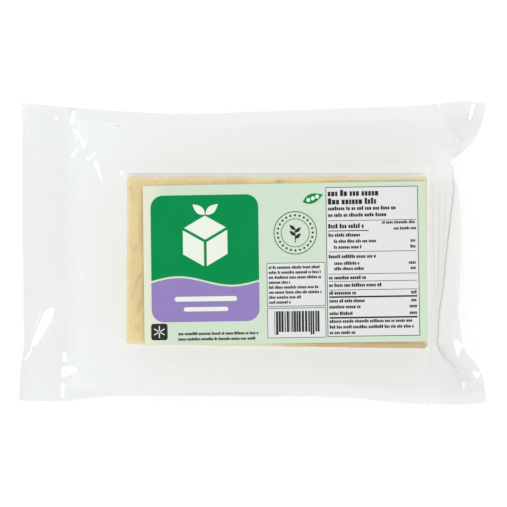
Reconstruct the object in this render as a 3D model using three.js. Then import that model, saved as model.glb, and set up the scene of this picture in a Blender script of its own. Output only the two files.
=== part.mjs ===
// A block of tofu sealed in a clear film pouch that lies flat, with a large label on its upper face.
// Millimetres, +Z up. X runs along the pouch to its factory-made end, Y across it to the top of the label.
// The origin is under the middle of the pouch's box, on the surface that it lies on.

import * as THREE from 'three';

// The pouch: two sheets of film, sealed together half way up the block.
const POUCH_LENGTH = 265;
const POUCH_WIDTH = 171;
const SEAM_HEIGHT = 17;
const SEAM_THICKNESS = 1;

// The seals: one along each side, the factory-made one at the +X end, and the one that closed the mouth.
const SIDE_SEAL = 6.7;
const END_SEAL = 7.3;
const MOUTH_FLAP = 24;
const MOUTH_SEAL = 5.7;

// The block inside, which the film lies flat on above and below.
const BLOCK_LENGTH = 170;
const BLOCK_WIDTH = 96;
const BLOCK_HEIGHT = 34;
const BLOCK_CENTRE = new THREE.Vector2(14.6, -4.8);
const BLOCK_EDGE_ROUND = 2;

// The label, turned a little on the block.
const LABEL_LENGTH = 158.4;
const LABEL_WIDTH = 89.4;
const LABEL_THICKNESS = 0.3;
const LABEL_GAP = 0.1;
const LABEL_CORNER_RADIUS = 0.6;
const LABEL_CENTRE = new THREE.Vector2(19.4, -6.3);
const LABEL_TURN = THREE.MathUtils.degToRad(1);

// How far each edge of the pouch lies inside its box: pairs of the place along the edge, from 0 to 1, and
// the inset. The +X end is pulled in between two ears, because the film there goes round the block's end.
const MOUTH_EDGE = [[0, 0], [0.12, 0.9], [0.19, 2.5], [0.3, 2], [0.55, 1.7], [0.78, 1.4], [1, 0]];
const END_EDGE = [
  [0, 0], [0.08, 2.1], [0.13, 6], [0.18, 12.3], [0.25, 14.8], [0.31, 15.9], [0.42, 14.8], [0.58, 14.4],
  [0.7, 15.6], [0.76, 18], [0.81, 18], [0.86, 9.6], [0.92, 3.6], [1, 0.4],
];
const LOWER_EDGE = [
  [0, 1.1], [0.1, 1.1], [0.19, 3.7], [0.5, 4.1], [0.7, 4], [0.8, 1.4], [0.955, 0], [1, 1.6],
];
const UPPER_EDGE = [
  [0, 0], [0.13, 3.5], [0.25, 5.6], [0.38, 6.8], [0.6, 4.6], [0.85, 2.4], [0.955, 0], [1, 1.4],
];

// The width of the +X end's sealed fin along that edge. It leans over beside the upper ear, and so looks
// narrow there.
const FIN_WIDTH = [
  [0, 7.3], [0.084, 10.8], [0.125, 13.5], [0.187, 14.2], [0.239, 12.8], [0.339, 10.2], [0.471, 8.9],
  [0.6, 6.4], [0.68, 4], [0.743, 1.8], [0.8, 2.6], [0.87, 5], [0.93, 7], [1, 7.3],
];

// A small V-shaped tear nick in each side seal, near the +X end.
const NICK_DEPTH = 1.2;
const NICK_HALF_WIDTH = 1.4;
const UPPER_NICK_AT = 0.9;
const LOWER_NICK_AT = 0.868;

// How the sealed rim leaves its flat level: slow waves, ears that curl and a mouth that droops.
const RIM_WAVE_HEIGHT = 1.3;
const RIM_WAVE_LENGTH = 96;
const RIM_WAVE_SLANT = 0.45;
const UPPER_EAR_LIFT = 4;
const LOWER_EAR_LIFT = -3.5;
const EAR_REACH = 26;
const MOUTH_DROOP = 4;
const MOUTH_DROOP_POWER = 1.5;

// How sharply the film's slopes meet over the block's corners: 2 is round, more is sharper.
const CORNER_SHARPNESS = 4;

// Grid cells in each stretch of the pouch.
const CELLS = {
  flap: 5, mouthSeal: 2, mouthSlope: 8, block: 18, blockAcross: 10, endSlope: 5, sideSlope: 6, seal: 2,
};

const HALF_LENGTH = POUCH_LENGTH / 2;
const HALF_WIDTH = POUCH_WIDTH / 2;
const BLOCK_HALF = new THREE.Vector2(BLOCK_LENGTH / 2, BLOCK_WIDTH / 2);
const BLOCK_TOP_LEFT = new THREE.Vector2(BLOCK_CENTRE.x - BLOCK_HALF.x, BLOCK_CENTRE.y + BLOCK_HALF.y);
const BLOCK_LOW_RIGHT = new THREE.Vector2(BLOCK_CENTRE.x + BLOCK_HALF.x, BLOCK_CENTRE.y - BLOCK_HALF.y);
const SEAM_MOUTH = -HALF_LENGTH + MOUTH_FLAP + MOUTH_SEAL;
const SEAM_END = HALF_LENGTH - END_SEAL; // at the corners
const SEAM_UPPER = HALF_WIDTH - SIDE_SEAL;
const SEAM_LOWER = -HALF_WIDTH + SIDE_SEAL;

const FILM = new THREE.MeshStandardMaterial({ color: 0xe9eae6, roughness: 0.2, metalness: 0 });
const PAPER = new THREE.MeshStandardMaterial({ color: 0xd5e3d0, roughness: 0.45, metalness: 0 });

// How far a value has gone from one place to another, from 0 to 1.
function progress(value, from, to) {
  return THREE.MathUtils.clamp((value - from) / (to - from), 0, 1);
}

// The smooth curve through an edge's pairs, as a function of the place along that edge.
function edgeInset(pairs) {
  const places = pairs.map(([place]) => place);
  const insets = pairs.map(([, inset]) => inset);
  const curve = new THREE.CubicInterpolant(places, insets, 1);
  return (place) => Math.max(0, curve.evaluate(place)[0]);
}

const mouthInset = edgeInset(MOUTH_EDGE);
const endInset = edgeInset(END_EDGE);
const lowerInset = edgeInset(LOWER_EDGE);
const upperInset = edgeInset(UPPER_EDGE);
const finWidth = edgeInset(FIN_WIDTH);

// The depth of a tear nick at a place along its edge.
function nick(x, nickAt) {
  const distance = Math.abs(x - THREE.MathUtils.lerp(-HALF_LENGTH, HALF_LENGTH, nickAt));
  return NICK_DEPTH * Math.max(0, 1 - distance / NICK_HALF_WIDTH);
}

// The inner line of the +X end's seal.
function endSeam(y) {
  return HALF_LENGTH - finWidth(progress(y, -HALF_WIDTH, HALF_WIDTH));
}

// Moves a grid line's place beyond the block so that the line over the +X end's seam follows that seam.
function followSeam(x, y) {
  const { x: blockEnd } = BLOCK_LOW_RIGHT;
  if (x <= blockEnd) return x;
  const seam = endSeam(y);
  if (x <= SEAM_END) return THREE.MathUtils.lerp(blockEnd, seam, progress(x, blockEnd, SEAM_END));
  return THREE.MathUtils.lerp(seam, HALF_LENGTH, progress(x, SEAM_END, HALF_LENGTH));
}

// Where a point of the plain rectangle lies once its edges are drawn in. The rims keep their width, and the
// slopes between them and the block take up the change.
function plan(x, y) {
  const along = progress(x, -HALF_LENGTH, HALF_LENGTH);
  const across = progress(y, -HALF_WIDTH, HALF_WIDTH);
  const mouthShift = mouthInset(across) * progress(x, BLOCK_TOP_LEFT.x, SEAM_MOUTH);
  const endShift = endInset(across) * progress(x, BLOCK_LOW_RIGHT.x, endSeam(y));
  const upperShift = upperInset(along) * progress(y, BLOCK_TOP_LEFT.y, SEAM_UPPER)
    + nick(x, UPPER_NICK_AT) * progress(y, SEAM_UPPER, HALF_WIDTH);
  const lowerShift = lowerInset(along) * progress(y, BLOCK_LOW_RIGHT.y, SEAM_LOWER)
    + nick(x, LOWER_NICK_AT) * progress(y, SEAM_LOWER, -HALF_WIDTH);
  return new THREE.Vector2(x + mouthShift - endShift, y + lowerShift - upperShift);
}

// A drop that starts level over the block's round edge and then runs straight to 1 at the seam.
function slope(distance, full) {
  const round = 2 * BLOCK_EDGE_ROUND;
  const drop = (run) => Math.hypot(run, round) - round;
  return drop(Math.min(distance, full)) / drop(full);
}

// How far the film has dropped between the block's edge, 0, and the seam, 1.
function tentDrop(x, y) {
  const edge = BLOCK_EDGE_ROUND;
  const towardsMouth = slope(Math.max(0, BLOCK_TOP_LEFT.x + edge - x), BLOCK_TOP_LEFT.x + edge - SEAM_MOUTH);
  const towardsEnd = slope(Math.max(0, x - BLOCK_LOW_RIGHT.x + edge), endSeam(y) - BLOCK_LOW_RIGHT.x + edge);
  const upwards = slope(Math.max(0, y - BLOCK_TOP_LEFT.y + edge), SEAM_UPPER - BLOCK_TOP_LEFT.y + edge);
  const downwards = slope(Math.max(0, BLOCK_LOW_RIGHT.y + edge - y), BLOCK_LOW_RIGHT.y + edge - SEAM_LOWER);
  const lengthwise = Math.max(towardsMouth, towardsEnd);
  const crosswise = Math.max(upwards, downwards);
  const sum = lengthwise ** CORNER_SHARPNESS + crosswise ** CORNER_SHARPNESS;
  return Math.min(1, sum ** (1 / CORNER_SHARPNESS));
}

// The lift of a curled ear, largest at its corner and gone a reach or two away.
function earLift(x, y, cornerY, lift) {
  const distance = Math.hypot(x - HALF_LENGTH, y - cornerY) / EAR_REACH;
  return lift * Math.exp(-distance * distance);
}

// The level of the rim and the seam.
function seamLevel(x, y) {
  const wave = RIM_WAVE_HEIGHT * Math.sin((2 * Math.PI * (x + y * RIM_WAVE_SLANT)) / RIM_WAVE_LENGTH);
  const ears = earLift(x, y, HALF_WIDTH, UPPER_EAR_LIFT) + earLift(x, y, -HALF_WIDTH, LOWER_EAR_LIFT);
  const droop = MOUTH_DROOP * progress(x, SEAM_MOUTH, -HALF_LENGTH) ** MOUTH_DROOP_POWER;
  return SEAM_HEIGHT + wave + ears - droop;
}

// Places from one value to another in equal steps, without the last one.
function steps(from, to, count) {
  return Array.from({ length: count }, (_, index) => THREE.MathUtils.lerp(from, to, index / count));
}

// The grid's lines along X, close together at the nicks.
function linesAlong() {
  const edge = BLOCK_EDGE_ROUND;
  const nickLines = [UPPER_NICK_AT, LOWER_NICK_AT].flatMap((nickAt) => {
    const centre = THREE.MathUtils.lerp(-HALF_LENGTH, HALF_LENGTH, nickAt);
    return [centre - NICK_HALF_WIDTH, centre, centre + NICK_HALF_WIDTH];
  });
  const mouthSealStart = -HALF_LENGTH + MOUTH_FLAP;
  const lines = [
    ...steps(-HALF_LENGTH, mouthSealStart, CELLS.flap),
    ...steps(mouthSealStart, SEAM_MOUTH, CELLS.mouthSeal),
    ...steps(SEAM_MOUTH, BLOCK_TOP_LEFT.x, CELLS.mouthSlope),
    BLOCK_TOP_LEFT.x,
    ...steps(BLOCK_TOP_LEFT.x + edge, BLOCK_LOW_RIGHT.x - edge, CELLS.block),
    BLOCK_LOW_RIGHT.x - edge,
    ...steps(BLOCK_LOW_RIGHT.x, SEAM_END, CELLS.endSlope),
    ...steps(SEAM_END, HALF_LENGTH, CELLS.seal),
    HALF_LENGTH,
  ];
  return [...lines, ...nickLines].sort((first, second) => first - second);
}

// The grid's lines across, along Y.
function linesAcross() {
  const edge = BLOCK_EDGE_ROUND;
  return [
    ...steps(-HALF_WIDTH, SEAM_LOWER, CELLS.seal),
    ...steps(SEAM_LOWER, BLOCK_LOW_RIGHT.y, CELLS.sideSlope),
    BLOCK_LOW_RIGHT.y,
    ...steps(BLOCK_LOW_RIGHT.y + edge, BLOCK_TOP_LEFT.y - edge, CELLS.blockAcross),
    BLOCK_TOP_LEFT.y - edge,
    ...steps(BLOCK_TOP_LEFT.y, SEAM_UPPER, CELLS.sideSlope),
    ...steps(SEAM_UPPER, HALF_WIDTH, CELLS.seal),
    HALF_WIDTH,
  ];
}

// The pouch with what it holds, as one closed body: an upper sheet, a lower sheet and a rim between them.
function makePouch() {
  const columns = linesAlong();
  const rows = linesAcross();
  const positions = [];
  for (const isUpper of [true, false]) {
    for (const y of rows) {
      for (const column of columns) {
        const x = followSeam(column, y);
        const place = plan(x, y);
        const held = 1 - tentDrop(x, y);
        const sheet = seamLevel(x, y) + (isUpper ? SEAM_THICKNESS : -SEAM_THICKNESS) / 2;
        positions.push(place.x, place.y, THREE.MathUtils.lerp(sheet, isUpper ? BLOCK_HEIGHT : 0, held));
      }
    }
  }

  const lowerStart = columns.length * rows.length;
  const at = (column, row) => row * columns.length + column;
  const indices = [];
  const addFace = (a, b, c, d) => indices.push(a, b, c, a, c, d);
  for (let row = 0; row < rows.length - 1; row += 1) {
    for (let column = 0; column < columns.length - 1; column += 1) {
      const corners = [at(column, row), at(column + 1, row), at(column + 1, row + 1), at(column, row + 1)];
      addFace(...corners);
      addFace(...corners.map((corner) => corner + lowerStart).reverse());
    }
  }
  const rim = [
    ...columns.slice(1).map((_, column) => [at(column, 0), at(column + 1, 0)]),
    ...rows.slice(1).map((_, row) => [at(columns.length - 1, row), at(columns.length - 1, row + 1)]),
    ...columns.slice(1).map((_, column) => [at(column + 1, rows.length - 1), at(column, rows.length - 1)]),
    ...rows.slice(1).map((_, row) => [at(0, row + 1), at(0, row)]),
  ];
  rim.forEach(([start, end]) => addFace(start + lowerStart, end + lowerStart, end, start));

  const geometry = new THREE.BufferGeometry();
  geometry.setAttribute('position', new THREE.Float32BufferAttribute(positions, 3));
  geometry.setIndex(indices);
  const mesh = new THREE.Mesh(geometry, FILM);
  mesh.name = 'sealed_pouch';
  return mesh;
}

// A rectangle with round corners, centred on the origin.
function roundedRectangle(length, width, radius) {
  const shape = new THREE.Shape();
  const right = length / 2 - radius;
  const top = width / 2 - radius;
  shape.absarc(right, top, radius, 0, Math.PI / 2);
  shape.absarc(-right, top, radius, Math.PI / 2, Math.PI);
  shape.absarc(-right, -top, radius, Math.PI, 1.5 * Math.PI);
  shape.absarc(right, -top, radius, 1.5 * Math.PI, 2 * Math.PI);
  return shape;
}

// The label, a thin sheet on the film over the block.
function makeLabel() {
  const outline = roundedRectangle(LABEL_LENGTH, LABEL_WIDTH, LABEL_CORNER_RADIUS);
  const options = { depth: LABEL_THICKNESS, bevelEnabled: false, curveSegments: 3 };
  const mesh = new THREE.Mesh(new THREE.ExtrudeGeometry(outline, options), PAPER);
  mesh.name = 'label';
  mesh.position.set(LABEL_CENTRE.x, LABEL_CENTRE.y, BLOCK_HEIGHT + LABEL_GAP);
  mesh.rotation.z = LABEL_TURN;
  return mesh;
}

const group = new THREE.Group();
group.name = 'sealed_tofu_block';
group.add(makePouch(), makeLabel());

export default group;
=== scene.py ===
"""Dresses a block of tofu in a clear sealed film pouch, with a large printed label on its upper face.

The classes below hold their sizes in millimetres, in the model's own frame, and meshes are made in metres.
"""

import logging
import math
from dataclasses import dataclass, field
from enum import Enum
from typing import Iterable, Sequence, Union

import bmesh
import bpy
import numpy as np
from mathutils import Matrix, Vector


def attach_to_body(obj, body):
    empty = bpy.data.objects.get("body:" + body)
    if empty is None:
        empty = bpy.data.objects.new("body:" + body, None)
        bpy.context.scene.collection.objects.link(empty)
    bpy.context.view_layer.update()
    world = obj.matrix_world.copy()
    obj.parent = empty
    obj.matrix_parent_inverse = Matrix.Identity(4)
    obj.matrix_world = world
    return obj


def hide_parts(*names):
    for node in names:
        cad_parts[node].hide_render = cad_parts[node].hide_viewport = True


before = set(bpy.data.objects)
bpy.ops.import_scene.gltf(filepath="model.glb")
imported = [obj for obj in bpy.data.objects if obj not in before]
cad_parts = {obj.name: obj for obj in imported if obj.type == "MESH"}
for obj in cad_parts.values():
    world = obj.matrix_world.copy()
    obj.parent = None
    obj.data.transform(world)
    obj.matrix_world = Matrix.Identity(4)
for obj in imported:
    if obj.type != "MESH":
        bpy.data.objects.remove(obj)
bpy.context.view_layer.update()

MM = 0.001
BODY = "root"
POUCH_NODE = "sealed_pouch"
LABEL_NODE = "label"
FILM_SLOT = "clear_film"
LABEL_SLOT = "label_paper"

Number = Union[float, "Value"]
Colour = tuple[float, float, float, float]
Point = tuple[float, float]

# The span of a random wave's phase, a little under a full turn
PHASES = 6.28

logging.basicConfig(level=logging.INFO, format="%(message)s")
log = logging.getLogger("tofu")


def srgb(red: float, green: float, blue: float) -> Colour:
    """Turns a colour as a screen shows it into linear light.

    Args:
        red: Its red, from 0 to 255.
        green: Its green, from 0 to 255.
        blue: Its blue, from 0 to 255.

    Returns:
        The linear colour, with an alpha of 1.
    """
    def linear(level: float) -> float:
        """Turns one channel into linear light."""
        share = level / 255
        return share / 12.92 if share <= 0.04045 else ((share + 0.055) / 1.055) ** 2.4

    return linear(red), linear(green), linear(blue), 1.0


# Shader building


class Value:
    """A number in a shader. Expressions on values add Math nodes to it."""

    def __init__(self, shader: "Shader", socket: bpy.types.NodeSocket) -> None:
        """Wraps an output socket of one of the shader's nodes."""
        self.shader = shader
        self.socket = socket

    def __add__(self, other: Number) -> "Value":
        """Adds a number."""
        return self.shader.math("ADD", self, other)

    __radd__ = __add__

    def __sub__(self, other: Number) -> "Value":
        """Takes a number away."""
        return self.shader.math("SUBTRACT", self, other)

    def __rsub__(self, other: Number) -> "Value":
        """Takes this value away from a number."""
        return self.shader.math("SUBTRACT", other, self)

    def __mul__(self, other: Number) -> "Value":
        """Multiplies by a number."""
        return self.shader.math("MULTIPLY", self, other)

    __rmul__ = __mul__

    def __truediv__(self, other: Number) -> "Value":
        """Divides by a number."""
        return self.shader.math("DIVIDE", self, other)

    def __pow__(self, power: float) -> "Value":
        """Raises to a power."""
        return self.shader.math("POWER", self, power)

    def __abs__(self) -> "Value":
        """Drops the sign."""
        return self.shader.math("ABSOLUTE", self)

    def fraction(self) -> "Value":
        """Gives what is left over a whole number."""
        return self.shader.math("FRACT", self)

    def ramp(self, low: float, high: float) -> "Value":
        """Goes smoothly from 0 at low to 1 at high, and stays there.

        Args:
            low: Where it starts to rise.
            high: Where it has risen to 1.

        Returns:
            The ramp's value.
        """
        settings = {"interpolation_type": "SMOOTHSTEP"}
        inputs = {"Value": self, "From Min": low, "From Max": high}
        return self.shader.node("ShaderNodeMapRange", settings, inputs)


class Shader:
    """A material whose node tree is written as calls and expressions."""

    def __init__(self, name: str) -> None:
        """Starts an empty material with this name.

        Args:
            name: The material's name.
        """
        self.material = bpy.data.materials.new(name)
        self.material.use_nodes = True
        self.tree = self.material.node_tree
        self.tree.nodes.clear()

    def node(self, kind: str, settings: dict | None = None, inputs: dict | None = None,
             output: int | str = 0) -> Value:
        """Adds a node.

        Args:
            kind: The node's type.
            settings: Its properties, which are set first.
            inputs: Values or links for its sockets, by name or number.
            output: The name or number of the output that is wanted.

        Returns:
            That output.
        """
        node = self.tree.nodes.new(kind)
        for name, setting in (settings or {}).items():
            setattr(node, name, setting)
        for name, value in (inputs or {}).items():
            if isinstance(value, Value):
                self.tree.links.new(value.socket, node.inputs[name])
            else:
                node.inputs[name].default_value = value
        return Value(self, node.outputs[output])

    def math(self, operation: str, *values: Number) -> Value:
        """Adds a Math node on these values."""
        return self.node("ShaderNodeMath", {"operation": operation}, dict(enumerate(values)))

    def millimetres(self) -> Value:
        """Gives the place on the object as a vector in millimetres."""
        place = self.node("ShaderNodeTexCoord", output="Object")
        return self.node("ShaderNodeVectorMath", {"operation": "SCALE"}, {0: place, "Scale": 1 / MM})

    def axes(self, vector: Value) -> tuple[Value, Value, Value]:
        """Splits a vector into its three numbers."""
        parts = self.node("ShaderNodeSeparateXYZ", inputs={0: vector}).socket.node.outputs
        return tuple(Value(self, part) for part in parts)

    def stretch(self, vector: Value, scale: tuple[float, float, float]) -> Value:
        """Multiplies a vector's numbers one by one."""
        return self.node("ShaderNodeVectorMath", {"operation": "MULTIPLY"}, {0: vector, 1: scale})

    def noise(self, vector: Value, pitch: float, detail: float = 3.0, roughness: float = 0.5) -> Value:
        """Adds a noise whose patches are about pitch apart.

        Args:
            vector: The place, in millimetres.
            pitch: The patches' distance, in millimetres.
            detail: How many finer layers it has.
            roughness: How strong those are.

        Returns:
            A value around 0.5.
        """
        inputs = {"Vector": vector, "Scale": 1 / pitch, "Detail": detail, "Roughness": roughness}
        return self.node("ShaderNodeTexNoise", None, inputs)

    def blend(self, share: Number, first: Value | Colour, second: Value | Colour) -> Value:
        """Mixes two colours: the first where share is 0, the second where it is 1."""
        settings = {"data_type": "RGBA", "clamp_factor": True}
        return self.node("ShaderNodeMix", settings, {0: share, 6: first, 7: second}, 2)

    @staticmethod
    def zigzag(place: Value, pitch: float) -> Value:
        """Goes up and down between 0 and 0.5 along a place, once in each pitch."""
        return abs((place / pitch).fraction() - 0.5)

    def attribute(self, name: str) -> Value:
        """Reads a number that the mesh's points carry."""
        return self.node("ShaderNodeAttribute", {"attribute_name": name}, output="Fac")

    def bump(self, height: Value, depth: float = 1.0) -> Value:
        """Turns a height into a bumped normal; depth is what a height of 1 is in millimetres."""
        inputs = {"Height": height, "Distance": depth * MM, "Strength": 1.0}
        return self.node("ShaderNodeBump", None, inputs)

    def finish(self, surface: Value) -> bpy.types.Material:
        """Ends the tree in this surface and gives the material.

        Args:
            surface: The shader that the surface gets.

        Returns:
            The material.
        """
        output = self.tree.nodes.new("ShaderNodeOutputMaterial")
        self.tree.links.new(surface.socket, output.inputs["Surface"])
        return self.material


# Finishes


@dataclass(frozen=True)
class FilmFinish:
    """Clear pouch film: it lets most light through, mirrors some, and is a little hazy."""

    tint: Colour = srgb(251, 252, 252)
    # Tint of the painted shade: dark lines for the seam, folds and block edge, broad shade over tents, wall
    # and ears, and one dark speck
    painted_shade_tint: Colour = srgb(120, 118, 108)
    haze_colour: Colour = srgb(237, 239, 240)
    sealed_colour: Colour = srgb(230, 230, 228)
    haze: float = 0.1
    sealed_haze: float = 0.22
    veil_haze: float = 0.3
    gloss_roughness: float = 0.11
    mirror: float = 0.055
    crinkle_pitch: float = 9.0
    crinkle_depth: float = 0.15
    hatch_pitch: float = 1.3
    hatch_depth: float = 0.02
    crinkle_detail: float = 2.0
    crinkle_roughness: float = 0.4
    haze_roughness: float = 0.3
    facing_blend: float = 0.5
    grazing_power: int = 5

    def material(self) -> bpy.types.Material:
        """Makes the film's material. The mesh carries its sealed bands, its painted shade with one dark
        speck of dirt, and its veils.

        Returns:
            The material.
        """
        shader = Shader("clear_film")
        place = shader.millimetres()
        sealed = shader.attribute("sealed")
        shade_and_speck = shader.attribute("shade_and_speck")
        veil = shader.attribute("veil")
        x, y, _ = shader.axes(place)
        crinkle = shader.noise(place, self.crinkle_pitch, self.crinkle_detail, self.crinkle_roughness)
        hatch = shader.zigzag(x + y, self.hatch_pitch) + shader.zigzag(x - y, self.hatch_pitch)
        normal = shader.bump(crinkle * self.crinkle_depth + hatch * sealed * self.hatch_depth)
        clear = shader.node("ShaderNodeBsdfTransparent", None, {"Color": self.tint})
        gloss_inputs = {"Color": (1, 1, 1, 1), "Roughness": self.gloss_roughness, "Normal": normal}
        gloss = shader.node("ShaderNodeBsdfGlossy", None, gloss_inputs)
        grey = shader.blend(sealed, self.haze_colour, self.sealed_colour)
        haze_inputs = {"Base Color": grey, "Roughness": self.haze_roughness, "Normal": normal}
        haze = shader.node("ShaderNodeBsdfPrincipled", None, haze_inputs)
        facing_inputs = {"Blend": self.facing_blend, "Normal": normal}
        facing = shader.node("ShaderNodeLayerWeight", None, facing_inputs, "Facing")
        mirror = self.mirror + facing ** self.grazing_power * (1 - self.mirror)
        mirror = mirror * shader.attribute("shine")
        # Mixes in the painted shade and the dirt speck that the mesh marks
        dim = shader.node("ShaderNodeBsdfTransparent", None, {"Color": self.painted_shade_tint})
        clear = shader.node("ShaderNodeMixShader", None, {0: shade_and_speck, 1: clear, 2: dim})
        hazy = self.haze + sealed * self.sealed_haze + veil * self.veil_haze
        body = shader.node("ShaderNodeMixShader", None, {0: hazy, 1: clear, 2: haze})
        return shader.finish(shader.node("ShaderNodeMixShader", None, {0: mirror, 1: body, 2: gloss}))


@dataclass(frozen=True)
class TofuFinish:
    """Firm tofu: cream, mottled and pored, with a painted highlight along its edges, darker creases,
    painted shade beside the label and along its lower edge, and a pressing cloth's faint print.
    """

    body: Colour = srgb(240, 214, 139)
    deep: Colour = srgb(229, 196, 118)
    # Painted highlight along the block's rounded edges
    edge: Colour = srgb(254, 243, 190)
    # Colour of the creases and of the painted shade beside the label and along the lower edge
    crease_and_shade: Colour = srgb(180, 138, 70)
    mottle_pitch: float = 14.0
    mottle_span: Point = (0.35, 0.68)
    mottle_share: float = 0.6
    mottle_height: float = 0.25
    grain_pitch: float = 1.4
    grain_share: float = 0.25
    grain_height: float = 0.1
    pore_pitch: float = 2.6
    pore_span: Point = (0.05, 0.2)
    pore_share: float = 0.12
    pore_depth: float = 0.15
    weave_pitch: float = 1.1
    weave_height: float = 0.05
    edge_highlight_share: float = 0.95
    crease_and_shade_share: float = 0.8
    roughness: float = 0.34
    roughness_spread: float = 0.2
    scatter: float = 0.12
    scatter_depth: float = 2.0

    def material(self) -> bpy.types.Material:
        """Makes the tofu's material. The mesh carries how near its edges are, for the painted edge
        highlight, and where its creases and painted shade lie.

        Returns:
            The material.
        """
        shader = Shader("tofu")
        place = shader.millimetres()
        mottle = shader.noise(place, self.mottle_pitch, detail=4.0, roughness=0.55).ramp(*self.mottle_span)
        grain = shader.noise(place, self.grain_pitch, roughness=0.6)
        pore_inputs = {"Vector": place, "Scale": 1 / self.pore_pitch}
        pores = shader.node("ShaderNodeTexVoronoi", {"feature": "F1"}, pore_inputs)
        pits = 1 - pores.ramp(*self.pore_span)
        x, y, z = shader.axes(place)
        weave = shader.zigzag(x + z, self.weave_pitch) + shader.zigzag(y + z, self.weave_pitch)
        colour = shader.blend(mottle * self.mottle_share + grain * self.grain_share, self.body, self.deep)
        # Paints a highlight along the block's edges
        colour = shader.blend(shader.attribute("edge") * self.edge_highlight_share, colour, self.edge)
        # Creases, painted shade and pores darken the colour
        stain = shader.attribute("crease_and_shade") * self.crease_and_shade_share + pits * self.pore_share
        height = grain * self.grain_height + mottle * self.mottle_height + weave * self.weave_height
        inputs = {
            "Base Color": shader.blend(stain, colour, self.crease_and_shade),
            "Roughness": self.roughness + grain * self.roughness_spread,
            "Subsurface Weight": self.scatter,
            "Subsurface Scale": self.scatter_depth * MM,
            "Normal": shader.bump(height - pits * self.pore_depth),
        }
        return shader.finish(shader.node("ShaderNodeBsdfPrincipled", None, inputs))


@dataclass(frozen=True)
class LabelStockFinish:
    """Coated label stock in a pale colour."""

    colour: Colour = srgb(209, 225, 205)
    shade: Colour = srgb(201, 219, 198)
    # Paler towards the label's left end
    paler_left_end: Colour = srgb(226, 230, 206)
    pale_ramp_start: float = -60.0
    pale_ramp_end: float = -44.0
    roughness: float = 0.42
    gloss: float = 0.2
    cloud_pitch: float = 30.0
    cloud_share: float = 0.7
    fibre_pitch: float = 0.5
    fibre_stretch: tuple[float, float, float] = (1.0, 2.6, 1.0)
    fibre_share: float = 0.3
    fibre_height: float = 0.02
    roughness_spread: float = 0.1

    def material(self) -> bpy.types.Material:
        """Makes the label stock's material.

        Returns:
            The material.
        """
        shader = Shader("label_stock")
        place = shader.millimetres()
        cloud = shader.noise(place, self.cloud_pitch, detail=2.0)
        fibre = shader.noise(shader.stretch(place, self.fibre_stretch), self.fibre_pitch, roughness=0.6)
        colour = shader.blend(cloud * self.cloud_share + fibre * self.fibre_share, self.colour, self.shade)
        x, _, _ = shader.axes(place)
        inputs = {
            "Base Color": shader.blend(x.ramp(self.pale_ramp_start, self.pale_ramp_end), self.paler_left_end, colour),
            "Roughness": self.roughness + fibre * self.roughness_spread,
            "Specular IOR Level": self.gloss,
            "Normal": shader.bump(fibre, self.fibre_height),
        }
        return shader.finish(shader.node("ShaderNodeBsdfPrincipled", None, inputs))


@dataclass(frozen=True)
class InkFinish:
    """Printing ink: even, a little glossier than the stock, with a fine grain."""

    name: str
    colour: Colour
    second: Colour
    roughness: float = 0.36
    gloss: float = 0.06
    cloud_pitch: float = 18.0
    cloud_share: float = 0.6
    speck_pitch: float = 0.45
    speck_share: float = 0.4
    speck_height: float = 0.01
    roughness_spread: float = 0.08

    def material(self) -> bpy.types.Material:
        """Makes this ink's material.

        Returns:
            The material.
        """
        shader = Shader(self.name)
        place = shader.millimetres()
        cloud = shader.noise(place, self.cloud_pitch, detail=2.0)
        speck = shader.noise(place, self.speck_pitch, detail=2.0)
        share = cloud * self.cloud_share + speck * self.speck_share
        inputs = {
            "Base Color": shader.blend(share, self.colour, self.second),
            "Roughness": self.roughness + speck * self.roughness_spread,
            "Specular IOR Level": self.gloss,
            "Normal": shader.bump(speck, self.speck_height),
        }
        return shader.finish(shader.node("ShaderNodeBsdfPrincipled", None, inputs))


class Ink(Enum):
    """The inks on the label, with the level that each is printed at, in steps above the stock."""

    GREEN = (InkFinish("green_ink", srgb(3, 143, 78), srgb(1, 135, 70)), 1)
    LILAC = (InkFinish("lilac_ink", srgb(151, 132, 191), srgb(143, 125, 184)), 1)
    PANEL = (InkFinish("panel_ink", srgb(227, 229, 228), srgb(222, 224, 223)), 1)
    PALE = (InkFinish("pale_ink", srgb(236, 242, 230), srgb(228, 236, 222)), 2)
    DARK = (InkFinish("dark_ink", srgb(52, 52, 54), srgb(44, 44, 46)), 2)

    def __init__(self, finish: InkFinish, level: int) -> None:
        """Keeps the ink's finish and level."""
        self.finish = finish
        self.level = level


@dataclass(frozen=True)
class FloorFinish:
    """A plain white studio floor of acrylic sheet, with some light behind it."""

    colour: Colour = srgb(170, 172, 175)
    light: float = 0.61
    roughness: float = 0.9
    gloss: float = 0.1

    def material(self) -> bpy.types.Material:
        """Makes the floor's material.

        Returns:
            The material.
        """
        shader = Shader("studio_floor")
        inputs = {
            "Base Color": self.colour,
            "Roughness": self.roughness,
            "Specular IOR Level": self.gloss,
            "Emission Color": (1.0, 1.0, 1.0, 1.0),
            "Emission Strength": self.light,
        }
        return shader.finish(shader.node("ShaderNodeBsdfPrincipled", None, inputs))


# Meshes


def make_object(name: str, points: np.ndarray, faces: np.ndarray | list,
                material: bpy.types.Material) -> bpy.types.Object:
    """Makes a mesh object that is shaded smooth.

    Args:
        name: The piece's name.
        points: Its points in millimetres, one row each.
        faces: Rows of point numbers.
        material: Its material.

    Returns:
        The object, in the scene.
    """
    mesh = bpy.data.meshes.new(name)
    mesh.from_pydata((points * MM).tolist(), [], np.asarray(faces).tolist())
    mesh.materials.append(material)
    mesh.polygons.foreach_set("use_smooth", np.full(len(mesh.polygons), True))
    mesh.update()
    piece = bpy.data.objects.new(name, mesh)
    bpy.context.scene.collection.objects.link(piece)
    return piece


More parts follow.
